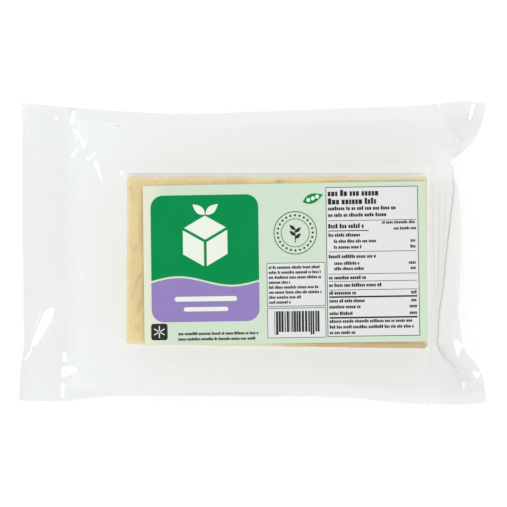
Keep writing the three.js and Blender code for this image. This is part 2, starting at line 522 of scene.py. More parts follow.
def set_numbers(piece: bpy.types.Object, name: str, numbers: np.ndarray) -> None:
    """Stores one number for each point of a piece, for its material to read."""
    layer = piece.data.attributes.new(name, "FLOAT", "POINT")
    layer.data.foreach_set("value", numbers.astype(np.float32).ravel())


def grid_faces(columns: int, rows: int, start: int = 0, flip: bool = False) -> np.ndarray:
    """Lists the faces of a grid of points that is stored row by row.

    Args:
        columns: Points in a row.
        rows: Rows of points.
        start: The number of its first point.
        flip: Whether the faces look the other way.

    Returns:
        One row of four point numbers for each face.
    """
    corner = start + np.arange(rows - 1)[:, None] * columns + np.arange(columns - 1)[None, :]
    corner = corner.ravel()
    faces = np.stack([corner, corner + 1, corner + columns + 1, corner + columns], 1)
    return faces[:, ::-1] if flip else faces


def progress(value: np.ndarray, start: float, end: float) -> np.ndarray:
    """Says how far each value has gone from start, 0, to end, 1."""
    return np.clip((value - start) / (end - start), 0, 1)


def shifted(start: float | np.ndarray, span: Point) -> tuple[float | np.ndarray, float | np.ndarray]:
    """Gives a span of places that is counted from start."""
    return start + span[0], start + span[1]


def smooth_curve(pairs: Sequence[Point], places: np.ndarray) -> np.ndarray:
    """Runs a smooth curve through pairs of a place and a value.

    Args:
        pairs: The pairs, in the order of their places.
        places: Where the curve is wanted.

    Returns:
        Its value at each of the places.
    """
    at = np.array([place for place, _ in pairs])
    level = np.array([value for _, value in pairs])
    slopes = np.gradient(level, at)
    slopes[1:-1] = (level[2:] - level[:-2]) / (at[2:] - at[:-2])
    index = np.clip(np.searchsorted(at, places) - 1, 0, len(at) - 2)
    width = at[index + 1] - at[index]
    t = np.clip((places - at[index]) / width, 0, 1)
    blend = t * t * (3 - 2 * t)
    return (level[index] * (1 - blend) + level[index + 1] * blend
            + slopes[index] * width * t * (1 - t) ** 2 - slopes[index + 1] * width * t * t * (1 - t))


# The tofu block, where the film pulls flat over it


@dataclass(frozen=True)
class BlockSize:
    """The block's place and size, and how round its edges are."""

    length: float = 170.0
    width: float = 96.0
    height: float = 34.0
    centre: Point = (14.6, -4.8)
    film_edge: float = 2.5
    edge_radius: float = 2.6
    clearance: float = 0.2
    flare: float = 2.0

    def low_side(self, x: np.ndarray) -> np.ndarray:
        """Gives the side below the label at each place along the block; it widens a little."""
        return self.low - self.flare * progress(x, self.left, self.right)

    @property
    def left(self) -> float:
        """The block's end towards the pouch's mouth."""
        return self.centre[0] - self.length / 2

    @property
    def right(self) -> float:
        """The block's other end."""
        return self.centre[0] + self.length / 2

    @property
    def low(self) -> float:
        """The block's side below the label."""
        return self.centre[1] - self.width / 2

    @property
    def high(self) -> float:
        """The block's side above the label."""
        return self.centre[1] + self.width / 2


@dataclass(frozen=True)
class Wear:
    """How uneven the block is: soft dents and creases that the film presses in, and the painted shade along
    its lower edge.
    """

    dents: int = 14
    dent_pitch: Point = (9.0, 34.0)
    dent_depth: float = 0.05
    crease_depth: float = 0.25
    crease_reach: float = 1.5
    lower_span: Point = (4.5, 2.0)
    lower_along: Point = (-10.0, 25.0)
    # Painted shade along the lower edge, below the label; it also dents a little
    lower_shade_and_crease: float = 0.75
    # How much of the painted edge highlight the lower edge loses
    lower_edge_highlight_loss: float = 0.8


@dataclass
class TofuBlock:
    """The block of tofu inside the pouch."""

    size: BlockSize
    finish: TofuFinish = field(default_factory=TofuFinish)
    wear: Wear = field(default_factory=Wear)
    pitch: float = 1.6
    fine_band: float = 17.0
    rounding: tuple[float, float, int] = (0.25, 1.0, 5)
    edge_highlight_reach: float = 1.6
    seed: int = 7

    def build(self) -> bpy.types.Object:
        """Makes the block as a rounded box whose faces and edges are a little uneven.

        Returns:
            The block.
        """
        size = self.size
        half = np.array([size.length, size.width, size.height]) / 2 - size.clearance
        mesh = bmesh.new()
        bmesh.ops.create_cube(mesh, size=2.0)
        for axis in range(3):
            self._cut(mesh, axis, half[axis])
        points = np.array([vertex.co for vertex in mesh.verts]) * half
        inner = np.clip(points, -(half - size.edge_radius), half - size.edge_radius)
        outward = points - inner
        reach = np.linalg.norm(outward, axis=1, keepdims=True)
        reach[reach == 0] = 1
        on_edge = (np.abs(points) > half - size.edge_radius).sum(1, keepdims=True) > 1
        rounded = inner + outward / reach * size.edge_radius
        flat = inner + np.clip(outward, -size.edge_radius, size.edge_radius)
        points = np.where(on_edge, rounded, flat)
        edge = self._nearness_to_edge(points, half)
        points, crease_and_shade = self._wear(points, half, edge)
        widening = size.low - size.low_side(points[:, 0] + size.centre[0])
        points[:, 1] -= widening * progress(points[:, 1], half[1], -half[1])
        centre = np.array([size.centre[0], size.centre[1], size.height / 2])
        faces = [[vertex.index for vertex in face.verts] for face in mesh.faces]
        mesh.free()
        piece = make_object("tofu_block", points + centre, faces, self.finish.material())
        set_numbers(piece, "edge", edge)
        set_numbers(piece, "crease_and_shade", crease_and_shade)
        return piece

    def _cut(self, mesh: bmesh.types.BMesh, axis: int, half: float) -> None:
        """Cuts a cube of size 2 across one axis, closer together near its edges.

        Args:
            mesh: The cube.
            axis: The axis to cut across: 0, 1 or 2.
            half: Half the block's size along that axis.
        """
        radius = self.size.edge_radius
        straight = half - radius
        near_edge = half - radius * (1 - np.cos(np.linspace(*self.rounding) * math.pi / 2))
        fine_from = max(0.0, straight - self.fine_band)
        coarse = np.linspace(0, fine_from, max(1, round(fine_from / self.pitch)), endpoint=False)
        fine_lines = round(2 * (straight - fine_from) / self.pitch)
        fine = np.linspace(fine_from, straight, fine_lines, endpoint=False)
        places = np.unique(np.round(np.concatenate([coarse, fine, near_edge]), 4))
        for place in np.concatenate([-places[places > 0], places]):
            direction = [0.0, 0.0, 0.0]
            direction[axis] = 1.0
            origin = [part * float(place) / half for part in direction]
            geometry = [*mesh.verts, *mesh.edges, *mesh.faces]
            bmesh.ops.bisect_plane(mesh, geom=geometry, plane_co=origin, plane_no=direction, dist=1e-6)
        mesh.verts.index_update()

    def _nearness_to_edge(self, points: np.ndarray, half: np.ndarray) -> np.ndarray:
        """Gives 1 at the block's edges and 0 well away from them."""
        depth = np.sort(half - np.abs(points), axis=1)[:, 1]
        return np.exp(-depth / self.edge_highlight_reach)

    def _wear(self, points: np.ndarray, half: np.ndarray,
              edge: np.ndarray) -> tuple[np.ndarray, np.ndarray]:
        """Makes the faces uneven, adds the shallow creases that the film presses in, and marks the painted
        shade beside the label and along the lower edge.

        Args:
            points: The block's points, centred on its middle.
            half: Half its sizes.
            edge: How near an edge each point lies, for the painted edge highlight; made less along the
                lower edge, where shade is painted.

        Returns:
            The moved points, and how deep in a crease or painted shade each lies.
        """
        wear, rng = self.wear, np.random.default_rng(self.seed)
        inward = -np.sign(points) * (np.abs(points) > half - self.size.edge_radius)
        dent = np.zeros(len(points))
        for _ in range(wear.dents):
            wave = rng.normal(size=3) / rng.uniform(*wear.dent_pitch)
            dent += wear.dent_depth * (1 + np.sin(points @ wave * 2 * math.pi + rng.uniform(0, PHASES)))
        crease_and_shade = np.zeros(len(points))
        for start, end, width, strength in self._crease_and_shade_lines():
            line = strength * ridge(points[:, 0], points[:, 1], start, end, width, Crest.ROUND)
            crease_and_shade = np.maximum(crease_and_shade, line)
        # Paints shade along the lower edge below the label, and takes the painted edge highlight away there
        below_label = progress(points[:, 1], *shifted(-half[1], wear.lower_span))
        below_label = below_label * progress(points[:, 0], *wear.lower_along)
        edge *= 1 - wear.lower_edge_highlight_loss * below_label
        crease_and_shade = np.maximum(crease_and_shade, wear.lower_shade_and_crease * below_label)
        crease_and_shade = crease_and_shade * (points[:, 2] > half[2] - wear.crease_reach)
        sides = np.maximum(1, np.abs(inward).sum(1, keepdims=True))
        shift = (dent + wear.crease_depth * crease_and_shade)[:, None] * inward / sides ** 0.5
        return points + shift, crease_and_shade

    @staticmethod
    def _crease_and_shade_lines() -> list[tuple[Point, Point, float, float]]:
        """Gives the creases and painted shade lines beside the label: their ends from the block's middle,
        width and strength.
        """
        return [
            ((-75.5, 42.0), (-75.5, 1.0), 1.5, 0.5),
            ((-74.8, 2.0), (-75.2, -28.0), 0.6, 0.55),
            ((-74.9, -22.0), (-76.9, -25.8), 0.7, 0.8),
            ((-76.9, -25.0), (-77.2, -30.5), 0.7, 0.65),
            ((-75.2, -7.3), (-78.2, -12.0), 0.7, 0.7),
            ((-78.0, -11.5), (-79.4, -17.5), 1.2, 0.3),
            ((-81.4, -20.7), (-79.6, -17.7), 0.8, 0.35),
            ((-77.0, 9.2), (-80.5, 4.0), 1.4, 0.3),
            ((-83.4, 38.8), (-81.0, 41.0), 1.4, 0.4),
            ((-79.0, -36.0), (-75.4, -39.4), 2.4, 0.35),
            ((-69.2, 43.6), (-67.8, 43.8), 1.0, 0.6),
            ((-54.0, 44.5), (-50.0, 44.1), 1.1, 0.3),
            ((-37.0, 43.6), (-33.0, 43.9), 1.2, 0.35),
            ((-29.0, 44.9), (-14.8, 44.1), 1.5, 0.35),
            ((-1.0, 44.3), (4.0, 44.4), 1.3, 0.6),
            ((33.2, 44.2), (34.6, 44.2), 0.8, 0.7),
            ((40.0, 44.7), (41.8, 44.6), 0.9, 0.9),
            ((6.0, -46.4), (82.0, -46.2), 0.8, 0.75),
        ]


# The film pouch


class Crest(Enum):
    """How a fold is shaped across its line."""

    KEEN = "keen"
    ROUND = "round"
    ROOF = "roof"


def ridge(x: np.ndarray, y: np.ndarray, start: Point, end: Point, width: float,
          crest: Crest = Crest.KEEN) -> np.ndarray:
    """Gives the height, from 0 to 1, of a fold that runs from start to end and dies away at both.

    Args:
        x: Places along X.
        y: Places along Y.
        start: Where the fold starts.
        end: Where it ends.
        width: How far from its line it falls to about a third, or for a roof to nothing.
        crest: Its shape across that line.

    Returns:
        Its height at each place.
    """
    run = np.array(end) - np.array(start)
    length = float(np.hypot(*run))
    along = ((x - start[0]) * run[0] + (y - start[1]) * run[1]) / length
    off = np.abs((x - start[0]) * -run[1] + (y - start[1]) * run[0]) / length
    past = np.maximum(0, np.maximum(-along, along - length))
    rounding = np.sqrt(np.clip(1 - (2 * np.clip(along / length, 0, 1) - 1) ** 2, 0, 1))
    taper = rounding * np.exp(-(past / width) ** 2)
    if crest is Crest.KEEN:
        profile = np.exp(-off / width)
    elif crest is Crest.ROUND:
        profile = np.exp(-(off / width) ** 2)
    else:
        profile = np.maximum(0, 1 - off / width)
    return taper * profile


@dataclass(frozen=True)
class Fold:
    """A fold in the upper sheet: its ends, height and width."""

    start: Point
    end: Point
    height: float
    width: float
    crest: Crest = Crest.KEEN


@dataclass(frozen=True)
class Facet:
    """A flat patch of the upper sheet: its corners, its slope, and where it faces, in degrees from +X."""

    corners: tuple[Point, ...]
    slope: float
    faces: float
    softness: float = 0.7

    def press(self, x: np.ndarray, y: np.ndarray, z: np.ndarray) -> np.ndarray:
        """Presses the patch into a sheet.

        Args:
            x: Places along X.
            y: Places along Y.
            z: The sheet's level at each.

        Returns:
            Its level with the patch.
        """
        inside = np.full_like(x, np.inf)
        corners = np.array(self.corners)
        middle = corners.mean(0)
        for start, end in zip(corners, np.roll(corners, -1, 0)):
            run = (end - start) / np.hypot(*(end - start))
            normal = np.array([-run[1], run[0]])
            normal = normal * np.sign(normal @ (middle - start))
            inside = np.minimum(inside, (x - start[0]) * normal[0] + (y - start[1]) * normal[1])
        weight = progress(inside, -self.softness, self.softness)
        weight = weight * weight * (3 - 2 * weight)
        level = (weight * z).sum() / weight.sum()
        way = math.radians(self.faces)
        plane = level - self.slope * ((x - middle[0]) * math.cos(way) + (y - middle[1]) * math.sin(way))
        return z + weight * (plane - z)


@dataclass(frozen=True)
class SealHaze:
    """How hazy the film is, from 0 to 1, where its two sheets lie together, and where that starts."""

    side: float = 0.72
    far: float = 0.55
    far_corner: float = 0.3
    far_corner_span: Point = (44.0, 60.0)
    flap: float = 0.75
    flap_span: Point = (3.0, -6.0)
    lips: float = 0.3
    lips_span: Point = (6.0, 1.0)
    ears_along: Point = (88.0, 122.0)
    ears_across: Point = (44.0, 68.0)


@dataclass(frozen=True)
class FilmShade:
    """How strong the film's painted shade is, from 0 to 1, along the seam and the block's upper edge and
    over the tents and the far end's wall, and where those start and end.
    """

    seam: float = 0.55
    seam_width: float = 0.6
    seam_low_span: Point = (-24.0, 0.0)
    seam_high_span: Point = (4.0, -6.0)
    block_edge: float = 0.5
    block_edge_drop: float = 0.2
    block_edge_fade: float = 6.0
    sides: float = 0.08
    sides_span: Point = (-100.0, 55.0)
    sides_end: Point = (108.0, 88.0)
    sides_reach: float = 6.0
    wall: float = 0.085
    wall_span: Point = (-1.0, 2.0)


@dataclass(frozen=True)
class Pleat:
    """The slack pleat along the block's upper edge, and the folded layers beside the block's end."""

    depth: float = 2.0
    waves: tuple[tuple[float, float, float], ...] = ((0.5, 0.09, 1.0), (0.3, 0.23, 0.0))
    inner_span: Point = (-0.5, 0.3)
    outer_fade: float = 0.5
    left_fade: float = 9.0
    right_span: Point = (1.0, -2.0)
    end: float = 0.35
    end_lead: float = 1.5
    end_low_span: Point = (-2.0, 4.0)
    end_high_span: Point = (2.0, -6.0)


@dataclass(frozen=True)
class SheetRelief:
    """The small ups and downs of a sheet: slow swells, and ripples beside the seals."""

    swells: int = 10
    swell_pitch: Point = (14.0, 46.0)
    swell_height: float = 0.11
    ripple_height: float = 0.05
    ripple_at: float = 0.84
    ripple_spread: float = 0.09
    side_ripple: tuple[float, float, float] = (0.8, 1.7, 0.13)
    side_ripple_from: float = 50.0
    mouth_ripple: tuple[float, float, float] = (0.75, 1.3, 0.17)
    mouth_ripple_from: float = -85.0


@dataclass(frozen=True)
class CornerFolds:
    """The random small folds in the far corners: where they start and end, their turn and width."""

    inset: Point = (6.0, 8.0)
    turn: float = 0.3
    start: Point = (0.12, 0.45)
    end: Point = (0.6, 0.98)
    width: Point = (0.9, 2.2)
    upper: tuple[int, float] = (6, 0.45)
    lower: tuple[int, float] = (5, 0.35)


@dataclass
class Pouch:
    """The clear pouch: two sheets of film that are sealed round the block, half way up it."""

    block: BlockSize
    finish: FilmFinish = field(default_factory=FilmFinish)
    seal_haze: SealHaze = field(default_factory=SealHaze)
    shade: FilmShade = field(default_factory=FilmShade)
    pleat: Pleat = field(default_factory=Pleat)
    relief: SheetRelief = field(default_factory=SheetRelief)
    corner_folds: CornerFolds = field(default_factory=CornerFolds)
    length: float = 265.0
    width: float = 171.0
    seam_height: float = 17.0
    sheet_gap: float = 0.16
    side_seal: float = 6.7
    end_seal: float = 7.3
    mouth_flap: float = 24.0
    mouth_seal: float = 5.7
    mouth_gape: float = 0.7
    mouth_step: float = 0.3
    gape_power: float = 0.7
    lower_shine: float = 0.2
    corner_sharpness: float = 4.0
    seam_softness: float = 0.14
    fold_onset: float = 6.0
    lower_relief: float = 0.8
    lower_folds: float = 0.35
    flat_until: float = 0.02
    sharp_angle: float = 60.0
    pitch: float = 0.8
    line_step: float = 0.35
    line_clearance: float = 0.3
    seed: int = 21

    rim_wave_height: float = 1.3
    rim_wave_length: float = 96.0
    rim_wave_slant: float = 0.45
    upper_ear_lift: float = 4.0
    lower_ear_lift: float = -3.5
    ear_reach: float = 26.0
    mouth_droop: float = 3.2
    mouth_droop_power: float = 1.5

    mouth_edge: tuple[Point, ...] = (
        (0, 0), (0.12, 0.9), (0.19, 2.5), (0.3, 2), (0.43, 1.5), (0.55, 0.8), (0.78, 0.5), (1, 0),
    )
    end_edge: tuple[Point, ...] = (
        (0, 0), (0.08, 2.1), (0.13, 6), (0.18, 12.3), (0.25, 14.8), (0.31, 15.9), (0.42, 14.8),
        (0.58, 14.4), (0.7, 15.6), (0.76, 18), (0.81, 18), (0.86, 9.6), (0.92, 3.6), (1, 0.4),
    )
    lower_edge: tuple[Point, ...] = (
        (0, 1.1), (0.1, 1.1), (0.19, 3.7), (0.5, 4.1), (0.7, 4), (0.8, 1.4), (0.955, 0), (1, 1.6),
    )
    upper_edge: tuple[Point, ...] = (
        (0, 0), (0.13, 3.5), (0.25, 5.6), (0.38, 6.8), (0.6, 4.6), (0.85, 2.4), (0.955, 0), (1, 1.4),
    )
    fin_width: tuple[Point, ...] = (
        (0, 7.3), (0.084, 10.8), (0.125, 13.5), (0.187, 14.2), (0.239, 12.8), (0.339, 10.2), (0.471, 8.9),
        (0.6, 6.4), (0.68, 4), (0.743, 1.8), (0.8, 2.6), (0.87, 5), (0.93, 7), (1, 7.3),
    )
    # Painted shade lines along folds, the far seam and the ears, and one dark speck of dirt: ends, width,
    # strength
    shade_and_speck_lines: tuple[tuple[Point, Point, float, float], ...] = (
        ((102.0, 38.0), (102.6, -36.0), 0.6, 0.2), ((106.0, 40.0), (104.6, -30.0), 0.7, 0.26),
        ((109.5, 40.0), (108.0, -8.0), 0.6, 0.2), ((104.4, -51.0), (110.0, -59.7), 1.5, 0.24),
        ((109.6, -59.3), (116.0, -65.0), 1.0, 0.22), ((119.4, -69.8), (125.2, -72.8), 1.4, 0.18),
        ((121.0, 73.3), (123.2, 71.1), 0.6, 0.16), ((123.2, 71.1), (123.8, 67.8), 0.6, 0.12),
        ((118.8, 66.3), (116.5, 61.0), 0.9, 0.2), ((112.6, 57.2), (118.0, 54.4), 2.0, 0.13),
        ((111.4, 48.6), (113.4, 53.0), 0.8, 0.2), ((-101.5, 84.0), (-104.5, 79.5), 2.4, 0.07),
        ((-76.3, 72.2), (-76.1, 72.1), 0.7, 0.85), ((121.0, 84.0), (113.0, 56.0), 9.0, 0.06),
        ((122.0, -84.0), (112.0, -58.0), 9.0, 0.08),
    )
    nick_depth: float = 1.2
    nick_half_width: float = 1.4
    upper_nick_at: float = 0.9
    lower_nick_at: float = 0.868

    def __post_init__(self) -> None:
        """Works out where the seals' inner lines lie."""
        self.half_length = self.length / 2
        self.half_width = self.width / 2
        self.seam_mouth = -self.half_length + self.mouth_flap + self.mouth_seal
        self.seam_upper = self.half_width - self.side_seal
        self.seam_lower = -self.seam_upper

    def seam_end(self, y: np.ndarray) -> np.ndarray:
        """Gives the inner line of the far end's seal, whose fin leans over more at its upper part."""
        across = progress(y, -self.half_width, self.half_width)
        return self.half_length - smooth_curve(self.fin_width, across)

    def _nick(self, x: np.ndarray, nick_at: float) -> np.ndarray:
        """Gives the depth of a tear nick at each place along its edge."""
        centre = (nick_at - 0.5) * self.length
        return self.nick_depth * np.maximum(0, 1 - np.abs(x - centre) / self.nick_half_width)

    @staticmethod
    def _drawn_in(edge: tuple[Point, ...], share: np.ndarray) -> np.ndarray:
        """Gives how far an edge is drawn in at each share of its length."""
        return np.maximum(0, smooth_curve(edge, share))

    def plan(self, x: np.ndarray, y: np.ndarray) -> tuple[np.ndarray, np.ndarray]:
        """Draws in the edges of the plain rectangle, as the block's thickness does.

        Args:
            x: Places along the rectangle.
            y: Places across it.

        Returns:
            Where those places lie in the pouch.
        """
        along = progress(x, -self.half_length, self.half_length)
        across = progress(y, -self.half_width, self.half_width)
        block = self.block
        mouth = self._drawn_in(self.mouth_edge, across) * progress(x, block.left, self.seam_mouth)
        end = self._drawn_in(self.end_edge, across) * progress(x, block.right, self.seam_end(y))
        upper = self._drawn_in(self.upper_edge, along) * progress(y, block.high, self.seam_upper)
        low = block.low_side(x)
        lower = self._drawn_in(self.lower_edge, along) * progress(y, low, self.seam_lower)
        upper = upper + self._nick(x, self.upper_nick_at) * progress(y, self.seam_upper, self.half_width)
        lower = lower + self._nick(x, self.lower_nick_at) * progress(y, self.seam_lower, -self.half_width)
        return x + mouth - end, y + lower - upper

    def _slope(self, distance: np.ndarray, full: float | np.ndarray) -> np.ndarray:
        """Drops from 0 over the block's round edge, and then straight through 1 at the seam.

        Args:
            distance: How far each place lies beyond the block's edge.
            full: How far the seam lies beyond it.

        Returns:
            The drop at each place.
        """
        bend = 2 * self.block.film_edge
        drop = np.hypot(np.maximum(distance, 0), bend) - bend
        return drop / (np.hypot(full, bend) - bend)

    def tent(self, x: np.ndarray, y: np.ndarray) -> np.ndarray:
        """Says how far the film has dropped: 0 at the block's edge, bending softly to 1 at the seam.

        Args:
            x: Places along the plain rectangle.
            y: Places across it.

        Returns:
            The drop at each place.
        """
        block, edge = self.block, self.block.film_edge
        towards_mouth = self._slope(block.left + edge - x, block.left + edge - self.seam_mouth)
        towards_end = self._slope(x - block.right + edge, self.seam_end(y) - block.right + edge)
        upwards = self._slope(y - block.high + edge, self.seam_upper - block.high + edge)
        low = block.low_side(x) + edge
        downwards = self._slope(low - y, low - self.seam_lower)
        along = np.maximum(towards_mouth, towards_end)
        across = np.maximum(upwards, downwards)
        power = self.corner_sharpness
        left_over = 1 - (along ** power + across ** power) ** (1 / power)
        return np.clip(1 - (left_over + np.hypot(left_over, self.seam_softness)) / 2, 0, 1)

    def seam_level(self, x: np.ndarray, y: np.ndarray) -> np.ndarray:
        """Gives the level of the rim and the seam.

        Args:
            x: Places along the plain rectangle.
            y: Places across it.

        Returns:
            The level at each place.
        """
        turn = 2 * math.pi * (x + y * self.rim_wave_slant) / self.rim_wave_length
        level = self.seam_height + self.rim_wave_height * np.sin(turn)
        ears = ((self.half_width, self.upper_ear_lift), (-self.half_width, self.lower_ear_lift))
        for corner, lift in ears:
            distance = np.hypot(x - self.half_length, y - corner) / self.ear_reach
            level = level + lift * np.exp(-distance ** 2)
        droop = progress(x, self.seam_mouth, -self.half_length) ** self.mouth_droop_power
        return level - self.mouth_droop * droop

    def _lines(self) -> tuple[np.ndarray, np.ndarray]:
        """Gives the places of the film's grid lines along and across the plain rectangle.

        Returns:
            The places along it, and the places across it.
        """
        mouth_lines = [self.seam_mouth, self.seam_mouth - self.mouth_seal]
        nicks = [(nick_at - 0.5) * self.length for nick_at in (self.upper_nick_at, self.lower_nick_at)]
        nicks = [nick + side * self.nick_half_width for nick in nicks for side in (-1, 0, 1)]
        seam_end = self.half_length - self.end_seal
        along = self._spread(self.half_length, [*mouth_lines, *nicks, seam_end, self.block.right])
        across = self._spread(self.half_width, [self.seam_lower, self.seam_upper, self.block.high])
        return along, across

    def _spread(self, half: float, kept: Sequence[float]) -> np.ndarray:
        """Spreads grid lines evenly from one edge to the other, and closer round the lines that are kept.

        Args:
            half: Half the rectangle's size that way.
            kept: Places that must have a line.

        Returns:
            The places of all the lines, in order.
        """
        even = np.linspace(-half, half, int(2 * half / self.pitch))
        kept = np.concatenate([np.array(kept) + step for step in (-self.line_step, 0, self.line_step)])
        kept = np.unique(np.round(kept, 3))
        apart = np.abs(even[:, None] - kept[None, :]).min(1) > self.line_clearance * self.pitch
        return np.sort(np.concatenate([even[apart], kept]))

    def follow_seam(self, x: np.ndarray, y: np.ndarray) -> np.ndarray:
        """Moves grid lines beyond the block so that the one over the far end's seam follows that seam.

        Args:
            x: The lines' places along the plain rectangle.
            y: Their places across it.

        Returns:
            Their new places along it.
        """
        block_end, straight = self.block.right, self.half_length - self.end_seal
        seam = self.seam_end(y)
        slope_part = block_end + (seam - block_end) * progress(x, block_end, straight)
        fin_part = seam + (self.half_length - seam) * progress(x, straight, self.half_length)
        return np.where(x <= block_end, x, np.where(x <= straight, slope_part, fin_part))

    def _folds(self) -> list[Fold]:
        """Lists the folds that stand out, by their places on the pouch."""
        return [
            Fold((-112.5, 78.0), (-110.5, 74.0), 0.35, 1.2),
            Fold((-80.5, 58.5), (-76.5, 57.5), 0.35, 0.8),
            Fold((103.0, 40.0), (102.4, -40.0), 0.5, 0.8),
            Fold((106.8, 38.0), (105.0, -32.0), -0.45, 0.8),
            Fold((106.0, -45.2), (114.0, -48.3), 0.5, 1.1, Crest.ROOF),
            Fold((104.4, -51.0), (116.5, -65.5), -1.1, 2.2, Crest.ROOF),
            Fold((118.0, -69.5), (126.0, -73.5), -0.8, 1.6, Crest.ROOF),
            Fold((115.5, 66.0), (119.5, 58.5), 0.6, 1.0),
            Fold((113.5, 60.0), (117.0, 55.0), -0.6, 1.0),
            Fold((117.0, 63.5), (121.5, 60.0), 0.5, 0.9),
            Fold((116.5, 66.5), (115.0, 60.5), -0.5, 0.9),
            Fold((112.0, 51.0), (109.0, 45.0), 0.7, 1.2, Crest.ROOF),
            Fold((47.0, 58.5), (90.0, 60.0), 0.35, 1.6),
            Fold((73.0, 49.5), (83.0, 49.0), 0.4, 0.9),
            Fold((24.0, -64.5), (76.0, -65.5), 0.3, 1.4),
            Fold((26.0, -68.5), (70.0, -69.5), 0.25, 1.2),
        ]

    @staticmethod
    def _facets() -> list[Facet]:
        """Lists the flat patches that catch the light, by their places on the pouch."""
        return [
            Facet(((-119.3, -32.5), (-114.4, -30.3), (-111.6, -32.0),
                   (-111.9, -37.1), (-121.0, -52.9), (-126.3, -55.2), (-127.8, -54.1)), 0.32, 152),
            Facet(((-126.9, -54.6), (-122.7, -53.8), (-125.2, -58.0), (-130.0, -64.0), (-131.2, -62.0)),
                  0.32, 149),
            Facet(((-109.3, -50.4), (-102.1, -63.0), (-107.4, -63.1)), 0.33, 150),
            Facet(((-109.0, -63.9), (-101.4, -63.6), (-96.9, -67.3), (-101.4, -70.5), (-108.7, -71.9)),
                  0.34, 150),
            Facet(((-109.6, -73.0), (-105.9, -73.0), (-104.7, -84.1), (-108.0, -84.1)), 0.34, 148),
            Facet(((-103.4, 81.7), (-98.8, 81.1), (-101.1, 71.7), (-105.4, 72.3)), 0.30, 169),
            Facet(((-102.3, 71.2), (-99.5, 71.2), (-98.6, 64.4), (-97.4, 56.4), (-102.3, 56.4)),
                  0.2, 180, 2.2),
            Facet(((-101.0, 71.2), (-99.7, 70.9), (-94.7, 63.2), (-93.2, 57.7), (-97.2, 57.4)), 0.31, 168),
            Facet(((-95.6, 53.5), (-92.9, 54.7), (-89.7, 52.3), (-91.2, 51.0), (-94.8, 51.5)), 0.31, 166),
            Facet(((-89.7, 57.7), (-87.7, 57.7), (-87.7, 53.8), (-89.7, 53.8)), 0.32, 167),
            Facet(((-113.1, 77.4), (-109.9, 77.4), (-109.9, 74.4), (-113.1, 74.4)), 0.30, 169),
            Facet(((-98.5, -9.9), (-95.7, -11.0), (-92.8, -17.8), (-95.5, -17.6), (-98.0, -13.3)),
                  0.32, 157),
            Facet(((123.9, 85.2), (127.8, 84.8), (126.1, 79.7), (123.7, 74.0), (121.1, 74.7)), 0.46, 175),
            Facet(((113.1, 55.0), (115.6, 54.2), (113.6, 49.0), (110.8, 48.5)), 0.33, 315),
            Facet(((111.2, -47.3), (117.8, -48.7), (120.7, -52.4), (118.5, -59.7), (113.9, -59.2)),
                  0.27, 327),
            Facet(((121.0, -67.3), (124.7, -65.3), (130.3, -66.6), (129.9, -72.3), (125.8, -70.7)),
                  0.26, 328),
            Facet(((125.3, -71.4), (128.0, -71.6), (131.3, -76.2), (129.4, -77.3)), 0.26, 329),
        ]

    def _corner_folds(self, rng: np.random.Generator) -> list[Fold]:
        """Fans small folds out from the block's far corners, where the film has too much room.

        Args:
            rng: The source of random draws.

        Returns:
            The folds.
        """
        block, style, folds = self.block, self.corner_folds, []
        far, side = self.half_length - style.inset[0], self.half_width - style.inset[1]
        corners = (
            ((block.right, block.high), (far, side), *style.upper),
            ((block.right, block.low), (far, -side), *style.lower),
        )
        for inner, outer, count, height in corners:
            run = np.array(outer) - np.array(inner)
            for _ in range(count):
                turn = rng.normal(0, style.turn)
                first, last = rng.uniform(*style.start), rng.uniform(*style.end)
                way = np.array([run[0] * math.cos(turn) - run[1] * math.sin(turn),
                                run[0] * math.sin(turn) + run[1] * math.cos(turn)])
                start, end = np.array(inner) + way * first, np.array(inner) + way * last
                rise = height * rng.uniform(-1, 1)
                folds.append(Fold(tuple(start), tuple(end), rise, rng.uniform(*style.width)))
        return folds

    def _relief(self, x: np.ndarray, y: np.ndarray, drop: np.ndarray,
                rng: np.random.Generator) -> np.ndarray:
        """Gives the small ups and downs of a sheet: slow swells, seal ripples and scattered folds.

        Args:
            x: Places along X, in the pouch.
            y: Places along Y, in the pouch.
            drop: How far the sheet has dropped there.
            rng: The source of random draws.

        Returns:
            The rise at each place.
        """
        style = self.relief
        slack = np.clip(4 * drop * (1 - drop), 0, 1)
        swell = np.zeros_like(x)
        for _ in range(style.swells):
            wave = rng.normal(size=2) / rng.uniform(*style.swell_pitch)
            swell += np.sin(2 * math.pi * (x * wave[0] + y * wave[1]) + rng.uniform(0, PHASES))
        near_seam = np.exp(-((drop - style.ripple_at) / style.ripple_spread) ** 2)
        along = self._ripple(x, *style.side_ripple) * (np.abs(y) > style.side_ripple_from)
        across = self._ripple(y, *style.mouth_ripple) * (x < style.mouth_ripple_from)
        ripple = along + across
        return slack * swell * style.swell_height + near_seam * ripple * style.ripple_height

    @staticmethod
    def _ripple(place: np.ndarray, rate: float, sway: float, sway_rate: float) -> np.ndarray:
        """Gives a ripple whose pitch sways slowly, from -1 to 1."""
        return np.sin(place * rate + sway * np.sin(place * sway_rate))

    def build(self) -> bpy.types.Object:
        """Makes the two sheets, joined round the rim except at the mouth.

        Returns:
            The film.
        """
        rng = np.random.default_rng(self.seed)
        along, across = self._lines()
        flat_x, flat_y = np.meshgrid(along, across)
        flat_x = self.follow_seam(flat_x, flat_y)
        x, y = self.plan(flat_x, flat_y)
        drop = self.tent(flat_x, flat_y)
        level = self.seam_level(flat_x, flat_y)
        flap = progress(flat_x, self.seam_mouth - self.mouth_seal, -self.half_length)
        middle = np.clip(1 - (flat_y / self.seam_upper) ** 2, 0, 1)
        gape = self.mouth_gape * flap ** self.gape_power * middle

